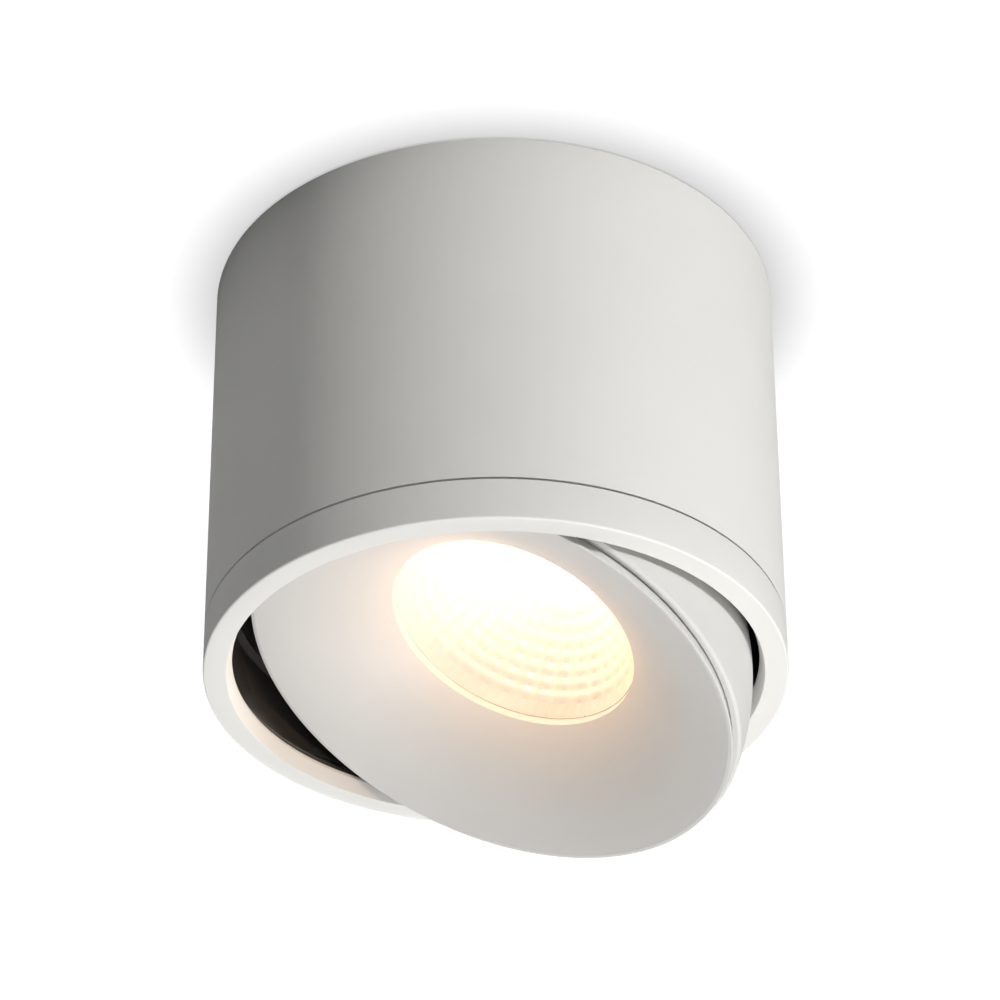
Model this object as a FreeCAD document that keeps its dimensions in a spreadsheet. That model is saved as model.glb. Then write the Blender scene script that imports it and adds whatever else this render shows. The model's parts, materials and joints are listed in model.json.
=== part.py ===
import FreeCAD, Part
import math
import os

import Sketcher

# Surface mounted ceiling spotlight: a plain cylinder that locks onto a ceiling plate, a trim ring
# that turns on it, and a lamp head that tilts in the ring.
# Origin: centre of the ceiling face. +Z points up into the ceiling, so everything hangs below z = 0.

V = FreeCAD.Vector

SIZES = [
    # Housing, ring and the gaps that show between them
    ("housing_d", 100.0, "outside diameter of the housing and the trim ring"),
    ("total_height", 78.5, "ceiling to the lower face of the trim ring"),
    ("ceiling_gap", 0.4, "shadow gap between ceiling and housing"),
    ("shell_wall", 1.8, "wall of the housing above the bearing shelf"),
    ("foot_wall", 2.3, "wall of the housing below the bearing shelf"),
    ("edge_break", 0.15, "chamfer of the edges beside the seam and the ceiling"),
    ("deck_drop", 6.0, "ceiling to the top of the housing's deck"),
    ("deck_thick", 2.0, "thickness of the deck"),
    ("shelf_rise", 9.5, "lower edge of the housing to the bearing shelf"),
    ("shelf_thick", 3.0, "thickness of the bearing shelf"),
    ("ring_height", 7.6, "height of the trim ring"),
    ("seam_gap", 0.4, "gap between trim ring and housing"),
    ("ring_edge", 0.4, "chamfer of the trim ring's lower outer edge"),
    ("face_width", 4.0, "width of the trim ring's lower face"),
    ("lip_reach", 0.9, "how far the ring's inner wall closes in towards its lip"),
    ("lip_rise", 2.5, "lower face to the edge of the lip"),
    ("lip_land", 0.6, "straight land of the lip, up to the barrel's seat"),
    # Ceiling plate and what fixes it
    ("plate_gap", 1.7, "gap between the ceiling plate and the housing"),
    ("plate_thick", 1.5, "thickness of the ceiling plate"),
    ("slot_spacing", 60.0, "distance between the two ceiling screw slots"),
    ("slot_width", 4.6, "width of a ceiling screw slot"),
    ("slot_length", 12.0, "length of a ceiling screw slot"),
    ("cable_y", 14.5, "offset of the cable entry from the middle"),
    ("cable_bore_d", 8.0, "bore of the cable grommet"),
    ("grommet_wall", 2.95, "wall of the grommet in the plate"),
    ("grommet_collar", 2.0, "height and overhang of the grommet's collar"),
    ("cable_room", 1.0, "room round the grommet in the deck's cable hole"),
    ("stud_count", 3.0, "number of lock studs"),
    ("stud_inset", 4.5, "lock studs inside the edge of the plate"),
    ("stud_room", 2.0, "room between a lock stud's head and the terminal block"),
    ("stud_d", 4.0, "shank of a lock stud"),
    ("stud_head_d", 8.0, "head of a lock stud"),
    ("stud_head_thick", 1.5, "thickness of a lock stud's head"),
    ("key_gap", 0.3, "clearance round a lock stud in its keyhole"),
    ("key_turn", 20.0, "turn of the housing that locks it on its studs"),
    # Driver and terminals under the deck
    ("driver_gap", 2.86, "least gap between the driver's corners and the housing"),
    ("driver_width", 36.0, "driver box along Y"),
    ("driver_cover_height", 4.0, "height of the driver's lower shell"),
    ("driver_y", -12.0, "offset of the driver from the middle"),
    ("driver_corner_r", 3.0, "corner radius of the driver"),
    ("ear_length", 8.0, "length of a driver's screw ear"),
    ("ear_width", 8.0, "width of a driver's screw ear"),
    ("ear_thick", 1.6, "thickness of a driver's screw ear"),
    ("terminal_width", 14.0, "terminal block along Y"),
    ("terminal_height", 13.0, "height of the terminal block"),
    ("terminal_inset", 11.2, "gap between the terminal block and the housing along Y"),
    ("pole_pitch", 9.0, "distance between the terminal block's poles"),
    ("wire_hole_d", 4.0, "wire hole of the terminal block"),
    ("screw_well_d", 4.6, "screw well of the terminal block"),
    ("screw_well_depth", 3.0, "depth of a screw well"),
    ("small_screw_d", 2.5, "shank of the driver and holder screws"),
    ("small_head_d", 4.4, "head of the driver and holder screws"),
    ("small_head_thick", 1.6, "height of the small screws' heads"),
    ("fit_gap", 0.1, "clearance between parts that plug together"),
    ("press_gap", 0.03, "clearance left by a press fit or a thread"),
    # Turning barrel
    ("side_gap", 0.4, "gap between the turning barrel and the housing"),
    ("barrel_wall", 1.0, "wall of the barrel"),
    ("neck_step", 1.0, "how far the barrel steps in to its neck"),
    ("neck_rise", 11.5, "height of the neck above the bearing shelf"),
    ("slide_gap", 0.3, "running gap between the neck and the slide ring"),
    ("slide_wall", 0.75, "wall of the slide ring"),
    ("slide_flange", 0.8, "thickness of the slide ring's flange"),
    ("axial_play", 0.1, "axial play of the turning barrel"),
    ("snap_thick", 1.0, "thickness of the snap ring"),
    ("snap_depth", 0.5, "depth of the snap ring's groove"),
    ("snap_width", 1.8, "radial width of the snap ring"),
    ("snap_open", 14.0, "angle that the snap ring leaves open"),
    ("stop_pin_rise", 6.0, "height of the stop pin above the bearing shelf"),
    ("stop_pin_d", 2.0, "diameter of the stop pin"),
    ("stop_rib_angle", 6.0, "angle that the housing's stop rib takes up"),
    ("stop_rib_height", 4.5, "height of the stop rib"),
    ("stop_rib_turn", 90.0, "angle from the head's lean back to the stop rib"),
    # Tilting axis
    ("pivot_height", 2.67, "tilting axis above the ring's lower face"),
    ("pivot_depth", 3.76, "tilting axis behind the head's mouth"),
    ("pan_rest", 201.15, "direction that the head leans to, from +X"),
    ("tilt_rest", 23.24, "angle between the beam and straight down"),
    ("tilt_limit", 30.0, "largest angle between the beam and straight down"),
    ("pin_d", 2.4, "running diameter of a pivot pin"),
    ("pin_body_d", 2.6, "body of a pivot pin in the barrel"),
    ("pin_gap", 0.05, "running clearance round a pivot pin"),
    ("boss_r", 1.9, "radius of the barrel's pivot bosses"),
    ("boss_rise", 3.3, "pivot boss above the tilting axis"),
    ("stop_gap", 0.3, "gap between heat sink and bump stop at the tilt limit"),
    ("bump_thick", 2.1, "thickness of a bump stop"),
    ("bump_height", 4.0, "height of a bump stop"),
    ("bump_angle", 8.0, "angle that a bump stop takes up"),
    # Lamp head
    ("head_gap", 0.3, "gap between the ring's lip and the head"),
    ("ball_depth", 1.13, "centre of the head's ball behind its mouth"),
    ("mouth_step", 0.7, "how far the mouth is smaller than the ball"),
    ("rim_land", 0.7, "flat land round the mouth"),
    ("rim_thick", 0.55, "thickness of the mouth's rim"),
    ("groove_width", 1.75, "shadow groove between rim and head shell"),
    ("groove_depth", 0.9, "depth of the shadow groove"),
    ("head_chamfer", 0.45, "chamfer of the head shell's front edge"),
    ("head_wall", 1.8, "wall of the head shell"),
    ("skirt_wall", 1.0, "wall of the baffle's skirt"),
    ("skirt_end", 6.1, "end of the skirt behind the mouth"),
    ("dish_wall", 1.1, "wall of the baffle's dish"),
    ("dish_bow_r", 62.0, "radius of the dish's hollow"),
    ("throat_depth", 11.6, "end of the dish behind the mouth"),
    ("throat_d", 44.6, "diameter of the throat"),
    ("throat_band", 1.4, "straight band between dish and reflector"),
    ("collar_length", 4.4, "length of the throat's collar"),
    ("reflector_rim_d", 41.8, "open diameter of the reflector's rim"),
    ("reflector_end_d", 18.6, "open diameter of the reflector's small end"),
    ("reflector_flange", 1.5, "thickness of the reflector's rim flange"),
    ("reflector_wall", 1.0, "wall of the reflector"),
    ("reflector_bow_r", 56.0, "radius of the reflector's outer curve"),
    ("facets_round", 36.0, "facets in one row round the reflector"),
    ("pad_thick", 1.8, "thickness of the head's pivot pads"),
    ("pad_width", 7.0, "width of a pivot pad"),
    ("pad_length", 5.2, "length of a pivot pad"),
    ("holder_d", 43.0, "diameter of the LED holder"),
    ("holder_height", 3.7, "height of the LED holder"),
    ("holder_ledge", 0.6, "ledge of the holder over the LED board"),
    ("holder_screw_r", 18.9, "distance of the holder screws from the beam's axis"),
    ("board_side", 24.0, "side of the LED board"),
    ("board_thick", 1.4, "thickness of the LED board"),
    ("emitter_d", 17.6, "diameter of the light-emitting face"),
    ("emitter_thick", 0.5, "thickness of the phosphor"),
    ("pad_foil", 0.2, "thickness of the thermal foil"),
    ("pedestal_height", 1.3, "pedestal of the heat sink"),
    ("flange_thick", 2.0, "thickness of the head shell's rear flange"),
    ("flange_overlap", 1.0, "how far the rear opening clears the LED holder"),
    ("rear_flange", 9.0, "width of the head shell's rear flange"),
    ("base_inset", 1.5, "heat sink base inside the shell's rear edge"),
    ("base_thick", 3.0, "thickness of the heat sink's base"),
    ("screw_inset", 3.0, "head screws inside the edge of the base"),
    ("fin_height", 12.0, "height of the fins over the base"),
    ("fin_thick", 1.4, "thickness of a fin"),
    ("fin_count", 18.0, "number of fins"),
    ("core_d", 16.0, "core of the heat sink"),
    ("sweep_gap", 1.5, "gap between the swung heat sink and the driver"),
    ("head_screw_d", 3.0, "shank of the head screws"),
    ("head_screw_head_d", 5.0, "head of the head screws"),
    ("head_screw_head_thick", 2.0, "height of the head screws' heads"),
    ("head_screw_bite", 6.0, "how far a head screw bites into its post"),
    ("head_screw_turn", 30.0, "angle from the head's lean to the first head screw"),
    ("post_wall", 1.1, "wall of the baffle's posts"),
    ("lead_bore_d", 2.8, "bore of the head's lead grommet"),
    ("lead_wall", 0.8, "wall of the lead grommet"),
    ("lead_collar", 0.7, "overhang and height of the lead grommet's collar"),
]


class Size:
    """A length or angle: the formula that the sheet knows it by, and what it comes to now."""

    def __init__(self, text, value):
        self.text = text
        self.value = value

    def __add__(self, other):
        other = plain(other)
        return Size(f"({self.text} + {other.text})", self.value + other.value)

    def __sub__(self, other):
        other = plain(other)
        return Size(f"({self.text} - {other.text})", self.value - other.value)

    def __mul__(self, other):
        other = plain(other)
        return Size(f"({self.text} * {other.text})", self.value * other.value)

    def __truediv__(self, other):
        other = plain(other)
        return Size(f"({self.text} / {other.text})", self.value / other.value)

    def __neg__(self):
        return Size(f"(0 - {self.text})", -self.value)


def plain(number):
    """A bare number as a Size, so that formulas can mix the two."""
    return number if isinstance(number, Size) else Size(repr(number), number)


def root(a):
    return Size(f"sqrt({a.text})", math.sqrt(a.value))


def sine(a):
    return Size(f"sin({a.text})", math.sin(math.radians(a.value)))


def cosine(a):
    return Size(f"cos({a.text})", math.cos(math.radians(a.value)))


def larger(a, b):
    return Size(f"max({a.text}; {b.text})", max(a.value, b.value))


def leg(long_side, short_side):
    """The other leg of a right triangle: a ball's radius at a distance from its centre."""
    return root(long_side * long_side - short_side * short_side)


doc = FreeCAD.newDocument("spotlight")
sheet = doc.addObject("Spreadsheet::Sheet", "Sizes")


class Sizes:
    """The driving sizes by name."""


dim = Sizes()
for row, (alias, number, note) in enumerate(SIZES, start=1):
    sheet.set(f"A{row}", note)
    sheet.set(f"B{row}", str(number))
    sheet.setAlias(f"B{row}", alias)
    setattr(dim, alias, Size(f"Sizes.{alias}", number))
doc.recompute()

# ---- radii, from the outside in ----
housing_r = dim.housing_d / 2
ring_bore_r = housing_r - dim.face_width
lip_r = ring_bore_r - dim.lip_reach
upper_bore_r = housing_r - dim.shell_wall
plate_r = upper_bore_r - dim.plate_gap
stud_circle_r = plate_r - dim.stud_inset
foot_bore_r = housing_r - dim.foot_wall
barrel_r = foot_bore_r - dim.side_gap
barrel_bore_r = barrel_r - dim.barrel_wall
seat_r = barrel_r + dim.fit_gap
neck_r = barrel_r - dim.neck_step
neck_bore_r = neck_r - dim.barrel_wall
slide_bore_r = neck_r + dim.slide_gap
slide_r = slide_bore_r + dim.slide_wall
shelf_bore_r = slide_r + dim.press_gap

# ---- levels of the housing ----
face_z = -dim.total_height
ring_top_z = face_z + dim.ring_height
shell_low_z = ring_top_z + dim.seam_gap
shell_top_z = -dim.ceiling_gap
deck_top_z = -dim.deck_drop
deck_low_z = deck_top_z - dim.deck_thick
shelf_low_z = shell_low_z + dim.shelf_rise
shelf_top_z = shelf_low_z + dim.shelf_thick
lip_z = face_z + dim.lip_rise
seat_z = lip_z + dim.lip_land
pivot_z = face_z + dim.pivot_height

# ---- driver and terminal block, side by side in the bore ----
driver_half_y = dim.driver_width / 2
driver_half = leg(upper_bore_r - dim.driver_gap, driver_half_y - dim.driver_y)
stud_x = stud_circle_r * cosine(plain(180.0) / dim.stud_count)
terminal_half = stud_x - dim.stud_head_d / 2 - dim.stud_room
terminal_y = upper_bore_r - dim.terminal_inset - dim.terminal_width / 2

# ---- lamp head: radii from the beam's axis, depths behind the mouth ----
ball_r = lip_r - dim.head_gap
mouth_r = ball_r - dim.mouth_step
dish_r = mouth_r - dim.rim_land
skirt_r = mouth_r - dim.groove_depth
skirt_bore_r = skirt_r - dim.skirt_wall
shell_seat_r = skirt_r + dim.fit_gap
inner_ball_r = ball_r - dim.head_wall
throat_r = dim.throat_d / 2
collar_r = throat_r + dim.dish_wall
shell_front = dim.rim_thick + dim.groove_width
reflector_front = dim.throat_depth + dim.throat_band
holder_r = dim.holder_d / 2
opening_r = holder_r + dim.flange_overlap
rear_r = opening_r + dim.rear_flange
shell_depth = dim.ball_depth + leg(ball_r, rear_r)
flange_front = shell_depth - dim.flange_thick
base_back = shell_depth + dim.base_thick
pedestal_front = shell_depth - dim.pedestal_height
board_back = pedestal_front - dim.pad_foil
board_front = board_back - dim.board_thick
reflector_back = board_front - dim.holder_ledge
reflector_length = reflector_back - reflector_front
base_r = rear_r - dim.base_inset
screw_circle_r = base_r - dim.screw_inset
fit_r = dim.head_screw_d / 2 + dim.fit_gap

# ---- the fins' corners meet the bump stops at the tilt limit ----
fin_top = base_back + dim.fin_height - dim.pivot_depth  # above the tilting axis
bump_face_r = neck_bore_r - dim.bump_thick
corner_r = bump_face_r - dim.stop_gap
fin_r = (corner_r - fin_top * sine(dim.tilt_limit)) / cosine(dim.tilt_limit)
bump_z = pivot_z + fin_top * cosine(dim.tilt_limit) - fin_r * sine(dim.tilt_limit)
bump_top_z = bump_z + dim.bump_height / 2

# ---- the driver is as tall as the swinging heat sink leaves room for ----
driver_low_z = pivot_z + root(fin_r * fin_r + fin_top * fin_top) + dim.sweep_gap
driver_mid_z = driver_low_z + dim.driver_cover_height

# ---- levels of the barrel's neck ----
neck_top_z = larger(shelf_top_z + dim.neck_rise, bump_top_z + dim.barrel_wall)
shoulder_z = shelf_low_z - dim.side_gap
slide_top_z = shelf_top_z + dim.slide_flange
snap_low_z = slide_top_z + dim.axial_play
snap_top_z = snap_low_z + dim.snap_thick
snap_bore_r = neck_r - dim.snap_depth
stop_z = shelf_top_z + dim.stop_pin_rise


def back(depth):
    """Height in the head's own frame, whose origin is on the tilting axis, of a depth."""
    return depth - dim.pivot_depth


# ---- building blocks ----
def bind(item, name, size):
    """Tie one property of a document object to a formula of the sheet."""
    item.setExpression(name, plain(size).text)


def new_body(name):
    item = doc.addObject("PartDesign::Body", name)
    item.Label = name
    return item


def origin_part(item, role):
    return [part for part in item.Origin.OriginFeatures if part.Role == role][0]


def new_sketch(item, role, name, offset=None, turn=None):
    """A sketch on an origin plane, moved along its normal or turned about the vertical."""
    sketch = item.newObject("Sketcher::SketchObject", name)
    sketch.AttachmentSupport = [(origin_part(item, role), "")]
    sketch.MapMode = "FlatFace"
    if offset is not None:
        bind(sketch, "AttachmentOffset.Base.z", offset)
    if turn is not None:
        angle = plain(turn).text
        sketch.setExpression("AttachmentOffset",
                             f"placement(vector(0; 0; 0); rotation(vector(0; 1; 0); {angle}))")
    return sketch


def pin(sketch, kind, side, end, size):
    """Hold one coordinate of a point at a size."""
    number = sketch.addConstraint(Sketcher.Constraint(kind, side, end, size.value))
    sketch.setExpression(f"Constraints[{number}]", size.text)


def outline(sketch, points, arcs=None):
    """Join points into a closed loop and pin each to its sizes.

    arcs holds (radius, turn) for each round side, by the number of the point that it leaves:
    turn is 1 where the centre lies left of the way round and -1 where it lies right.
    """
    arcs = arcs or {}
    corners = [(plain(x), plain(y)) for x, y in points]
    first = sketch.GeometryCount
    leaves = []
    for number, (x, y) in enumerate(corners):
        next_x, next_y = corners[(number + 1) % len(corners)]
        a = V(x.value, y.value, 0)
        b = V(next_x.value, next_y.value, 0)
        if number in arcs:
            radius, turn = arcs[number]
            half = (b - a) * 0.5
            left = V(-half.y, half.x, 0).normalize()
            centre = a + half + left * turn * math.sqrt(radius.value ** 2 - half.Length ** 2)
            start, end = (a, b) if turn > 0 else (b, a)
            angles = [math.atan2(p.y - centre.y, p.x - centre.x) for p in (start, end)]
            circle = Part.Circle(centre, V(0, 0, 1), radius.value)
            sketch.addGeometry(Part.ArcOfCircle(circle, *angles))
            leaves.append(1 if turn > 0 else 2)
        else:
            sketch.addGeometry(Part.LineSegment(a, b))
            leaves.append(1)
    for number, (x, y) in enumerate(corners):
        side = first + number
        before = (number - 1) % len(corners)
        sketch.addConstraint(Sketcher.Constraint(
            "Coincident", side, leaves[number], first + before, 3 - leaves[before]))
        pin(sketch, "DistanceX", side, leaves[number], x)
        pin(sketch, "DistanceY", side, leaves[number], y)
        if number in arcs:
            radius = arcs[number][0]
            tied = sketch.addConstraint(Sketcher.Constraint("Radius", side, radius.value))
            sketch.setExpression(f"Constraints[{tied}]", radius.text)


def turned(item, name, points, arcs=None, cut=False, angle=None, turn=None):
    """A profile in radius and height, turned about the vertical axis."""
    sketch = new_sketch(item, "XZ_Plane", f"{name}_profile", turn=turn)
    outline(sketch, points, arcs)
    kind = "PartDesign::Groove" if cut else "PartDesign::Revolution"
    feature = item.newObject(kind, name)
    feature.Profile = sketch
    feature.ReferenceAxis = (sketch, ["V_Axis"])
    feature.Angle = 360
    if angle is not None:
        bind(feature, "Angle", angle)
    return feature


def extruded(item, name, sketch, length, cut=False, both=False):
    """A pad, or with cut a pocket, of a sketch; both sends it to both sides of its plane."""
    feature = item.newObject("PartDesign::Pocket" if cut else "PartDesign::Pad", name)
    feature.Profile = sketch
    bind(feature, "Length", length)
    if both:
        feature.SideType = "Symmetric"
    return feature


def disc(item, name, x, y, radius, low, high, cut=False):
    """An upright cylinder, or the hole of one, between two heights."""
    sketch = new_sketch(item, "XY_Plane", f"{name}_circle", offset=high if cut else low)
    x, y = plain(x), plain(y)
    sketch.addGeometry(Part.Circle(V(x.value, y.value, 0), V(0, 0, 1), radius.value))
    pin(sketch, "DistanceX", 0, 3, x)
    pin(sketch, "DistanceY", 0, 3, y)
    tied = sketch.addConstraint(Sketcher.Constraint("Radius", 0, radius.value))
    sketch.setExpression(f"Constraints[{tied}]", radius.text)
    return extruded(item, name, sketch, high - low, cut=cut)


def block(item, name, x_ends, y_ends, low, high, cut=False, corner=None):
    """An upright block, or the hole of one; corner rounds its upright edges."""
    sketch = new_sketch(item, "XY_Plane", f"{name}_outline", offset=high if cut else low)
    (left, right), (front, rear) = x_ends, y_ends
    if corner is None:
        outline(sketch, [(left, front), (right, front), (right, rear), (left, rear)])
    else:
        outline(sketch, [(left + corner, front), (right - corner, front), (right, front + corner),
                         (right, rear - corner), (right - corner, rear), (left + corner, rear),
                         (left, rear - corner), (left, front + corner)],
                {1: (corner, 1), 3: (corner, 1), 5: (corner, 1), 7: (corner, 1)})
    return extruded(item, name, sketch, high - low, cut=cut)


def round_copies(item, name, features, count):
    """Repeat features about the vertical axis; the pattern becomes the body's result."""
    doc.recompute()
    pattern = item.newObject("PartDesign::PolarPattern", name)
    pattern.Originals = features
    pattern.Axis = (origin_part(item, "Z_Axis"), [""])
    pattern.Angle = 360
    bind(pattern, "Occurrences", count)
    item.Tip = pattern
    return pattern


def in_gimbal(item):
    """Turn a piece to the direction that the head leans to."""
    item.setExpression("Placement", "placement(vector(0; 0; 0); "
                       f"rotation(vector(0; 0; 1); {dim.pan_rest.text}))")
    return item


def in_head(item):
    """Hang a piece of the lamp head on the tilting axis, leaning as the head leans."""
    item.setExpression("Placement", f"placement(vector(0; 0; {pivot_z.text}); "
                       f"rotation(vector(0; 0; 1); {dim.pan_rest.text}) * "
                       f"rotation(vector(0; -1; 0); {dim.tilt_rest.text}))")
    return item


# ---- what stays fixed to the ceiling ----
def mounting_plate():
    item = new_body("mounting_plate")
    low = -dim.plate_thick
    top = plain(0.0)
    disc(item, "sheet_metal", 0.0, 0.0, plate_r, low, top)
    slot_r = dim.slot_width / 2
    slot_half = dim.slot_length / 2 - slot_r
    middle = dim.slot_spacing / 2
    cuts = [disc(item, "slot_outer_end", middle + slot_half, 0.0, slot_r, low, top, cut=True),
            disc(item, "slot_inner_end", middle - slot_half, 0.0, slot_r, low, top, cut=True),
            block(item, "slot_middle", (middle - slot_half, middle + slot_half),
                  (-slot_r, slot_r), low, top, cut=True)]
    round_copies(item, "both_slots", cuts, 2.0)
    bore = dim.cable_bore_d / 2 + dim.grommet_wall + dim.press_gap
    item.Tip = disc(item, "cable_entry", 0.0, dim.cable_y, bore, low, top, cut=True)
    return item


def cable_grommet():
    item = new_body("cable_grommet")
    waist = dim.cable_bore_d / 2 + dim.grommet_wall
    collar_low = -(dim.plate_thick + dim.grommet_collar)
    disc(item, "collar", 0.0, dim.cable_y, waist + dim.grommet_collar, collar_low, -dim.plate_thick)
    disc(item, "waist", 0.0, dim.cable_y, waist, -dim.plate_thick, plain(0.0))
    disc(item, "bore", 0.0, dim.cable_y, dim.cable_bore_d / 2, collar_low, plain(0.0), cut=True)
    return item


def lock_studs():
    """Headed studs under the plate; the housing's deck hangs on their heads."""
    item = new_body("lock_studs")
    head_low = deck_low_z - dim.stud_head_thick
    features = [
        disc(item, "shank", stud_circle_r, 0.0, dim.stud_d / 2, deck_low_z, -dim.plate_thick),
        disc(item, "head", stud_circle_r, 0.0, dim.stud_head_d / 2, head_low, deck_low_z)]
    round_copies(item, "all_studs", features, dim.stud_count)
    return item


def housing_shell():
    """Cylinder, deck and bearing shelf in one casting."""
    item = new_body("housing_shell")
    chamfer = dim.edge_break
    turned(item, "casting", [
        (housing_r - chamfer, shell_low_z),
        (housing_r, shell_low_z + chamfer),
        (housing_r, shell_top_z - chamfer),
        (housing_r - chamfer, shell_top_z),
        (upper_bore_r, shell_top_z),
        (upper_bore_r, deck_top_z),
        (0.0, deck_top_z),
        (0.0, deck_low_z),
        (upper_bore_r, deck_low_z),
        (upper_bore_r, shelf_top_z),
        (shelf_bore_r, shelf_top_z),
        (shelf_bore_r, shelf_low_z),
        (foot_bore_r, shelf_low_z),
        (foot_bore_r, shell_low_z)])
    slot_half = dim.stud_d / 2 + dim.key_gap
    head_hole = dim.stud_head_d / 2 + dim.key_gap
    inner = stud_circle_r - slot_half
    outer = stud_circle_r + slot_half
    entry_x = stud_circle_r * cosine(dim.key_turn)
    entry_y = stud_circle_r * sine(dim.key_turn)
    keyhole = [
        disc(item, "key_end", stud_circle_r, 0.0, slot_half, deck_low_z, deck_top_z, cut=True),
        disc(item, "key_entry", entry_x, entry_y, head_hole, deck_low_z, deck_top_z, cut=True),
        turned(item, "key_slot", [(inner, deck_low_z), (outer, deck_low_z), (outer, deck_top_z),
                                  (inner, deck_top_z)], cut=True, angle=dim.key_turn)]
    round_copies(item, "all_keyholes", keyhole, dim.stud_count)
    # a rib on the inner wall stops the turning barrel, opposite its stop pin
    rib_r = neck_r + dim.barrel_wall / 2
    rib_low = stop_z - dim.stop_rib_height / 2
    middle = dim.pan_rest - dim.stop_rib_turn
    turned(item, "stop_rib", [(rib_r, rib_low), (upper_bore_r + dim.fit_gap, rib_low),
                              (upper_bore_r + dim.fit_gap, rib_low + dim.stop_rib_height),
                              (rib_r, rib_low + dim.stop_rib_height)],
           angle=dim.stop_rib_angle, turn=middle - dim.stop_rib_angle / 2)
    wire_hole = dim.cable_bore_d / 2 + dim.grommet_wall + dim.cable_room
    disc(item, "cable_hole", 0.0, dim.cable_y, wire_hole, deck_low_z, deck_top_z, cut=True)
    hole = dim.small_screw_d / 2 + dim.press_gap
    for side, name in ((1.0, "right"), (-1.0, "left")):
        disc(item, f"driver_hole_{name}", driver_screw_x() * side, dim.driver_y, hole,
             deck_low_z, deck_top_z, cut=True)
    return item


def driver_screw_x():
    return driver_half + dim.ear_length / 2


def driver_case():
    """Upper shell of the driver, with a screw ear at each end."""
    item = new_body("driver_case")
    ear = driver_half + dim.ear_length
    block(item, "shell", (-driver_half, driver_half),
          (dim.driver_y - driver_half_y, dim.driver_y + driver_half_y),
          driver_mid_z, deck_low_z, corner=dim.driver_corner_r)
    block(item, "ears", (-ear, ear),
          (dim.driver_y - dim.ear_width / 2, dim.driver_y + dim.ear_width / 2),
          deck_low_z - dim.ear_thick, deck_low_z)
    hole = dim.small_screw_d / 2 + dim.fit_gap
    for side, name in ((1.0, "right"), (-1.0, "left")):
        disc(item, f"hole_{name}", driver_screw_x() * side, dim.driver_y, hole,
             deck_low_z - dim.ear_thick, deck_low_z, cut=True)
    return item


def driver_cover():
    item = new_body("driver_cover")
    step = dim.driver_cover_height / 2
    inner = driver_half - step
    y_low = dim.driver_y - driver_half_y
    y_high = dim.driver_y + driver_half_y
    block(item, "rim", (-driver_half, driver_half), (y_low, y_high), driver_mid_z - step,
          driver_mid_z, corner=dim.driver_corner_r)
    block(item, "floor", (-inner, inner), (y_low + step, y_high - step),
          driver_low_z, driver_mid_z - step, corner=dim.driver_corner_r)
    return item


def driver_screws():
    item = new_body("driver_screws")
    ear_low = deck_low_z - dim.ear_thick
    for side, name in ((1.0, "right"), (-1.0, "left")):
        x = driver_screw_x() * side
        disc(item, f"head_{name}", x, dim.driver_y, dim.small_head_d / 2,
             ear_low - dim.small_head_thick, ear_low)
        disc(item, f"shank_{name}", x, dim.driver_y, dim.small_screw_d / 2, ear_low, deck_top_z)
    return item


def terminal_block():
    """Three poles, each with a wire hole right through and a screw well from below."""
    item = new_body("terminal_block")
    half_y = dim.terminal_width / 2
    low = deck_low_z - dim.terminal_height
    block(item, "body", (-terminal_half, terminal_half), (terminal_y - half_y, terminal_y + half_y),
          low, deck_low_z)
    for number in (-1.0, 0.0, 1.0):
        name = {-1.0: "left", 0.0: "middle", 1.0: "right"}[number]
        x = dim.pole_pitch * number
        sketch = new_sketch(item, "XZ_Plane", f"wire_circle_{name}",
                            offset=-(terminal_y + half_y))
        sketch.addGeometry(Part.Circle(V(x.value, 0, 0), V(0, 0, 1), dim.wire_hole_d.value / 2))
        pin(sketch, "DistanceX", 0, 3, x)
        pin(sketch, "DistanceY", 0, 3, deck_low_z - dim.terminal_height / 2)
        tied = sketch.addConstraint(Sketcher.Constraint("Radius", 0, dim.wire_hole_d.value / 2))
        sketch.setExpression(f"Constraints[{tied}]", (dim.wire_hole_d / 2).text)
        hole = extruded(item, f"wire_hole_{name}", sketch, dim.terminal_width, cut=True)
        hole.Reversed = True
        disc(item, f"well_{name}", x, terminal_y, dim.screw_well_d / 2,
             low, low + dim.screw_well_depth, cut=True)
    return item


def terminal_screws():
    item = new_body("terminal_screws")
    well_top = deck_low_z - dim.terminal_height + dim.screw_well_depth
    for number in (-1.0, 0.0, 1.0):
        name = {-1.0: "left", 0.0: "middle", 1.0: "right"}[number]
        disc(item, f"screw_{name}", dim.pole_pitch * number, terminal_y,
             dim.screw_well_d / 2 - dim.fit_gap, well_top - dim.small_head_thick, well_top)
    return item


def slide_ring():
    """Plastic bush that lines the bearing shelf; the barrel turns in it."""
    item = new_body("slide_ring")
    turned(item, "bush", [
        (slide_bore_r, shelf_low_z),
        (slide_r, shelf_low_z),
        (slide_r, shelf_top_z),
        (upper_bore_r - dim.fit_gap, shelf_top_z),
        (upper_bore_r - dim.fit_gap, slide_top_z),
        (slide_bore_r, slide_top_z)])
    return item


# ---- what turns about the vertical ----
def boss_outline(sketch, radius, top):
    """A round-bottomed tongue about the tilting axis."""
    outline(sketch, [(plain(0.0), pivot_z - radius), (radius, pivot_z), (radius, top),
                     (-radius, top), (-radius, pivot_z)],
            {0: (radius, 1), 4: (radius, 1)})


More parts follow.
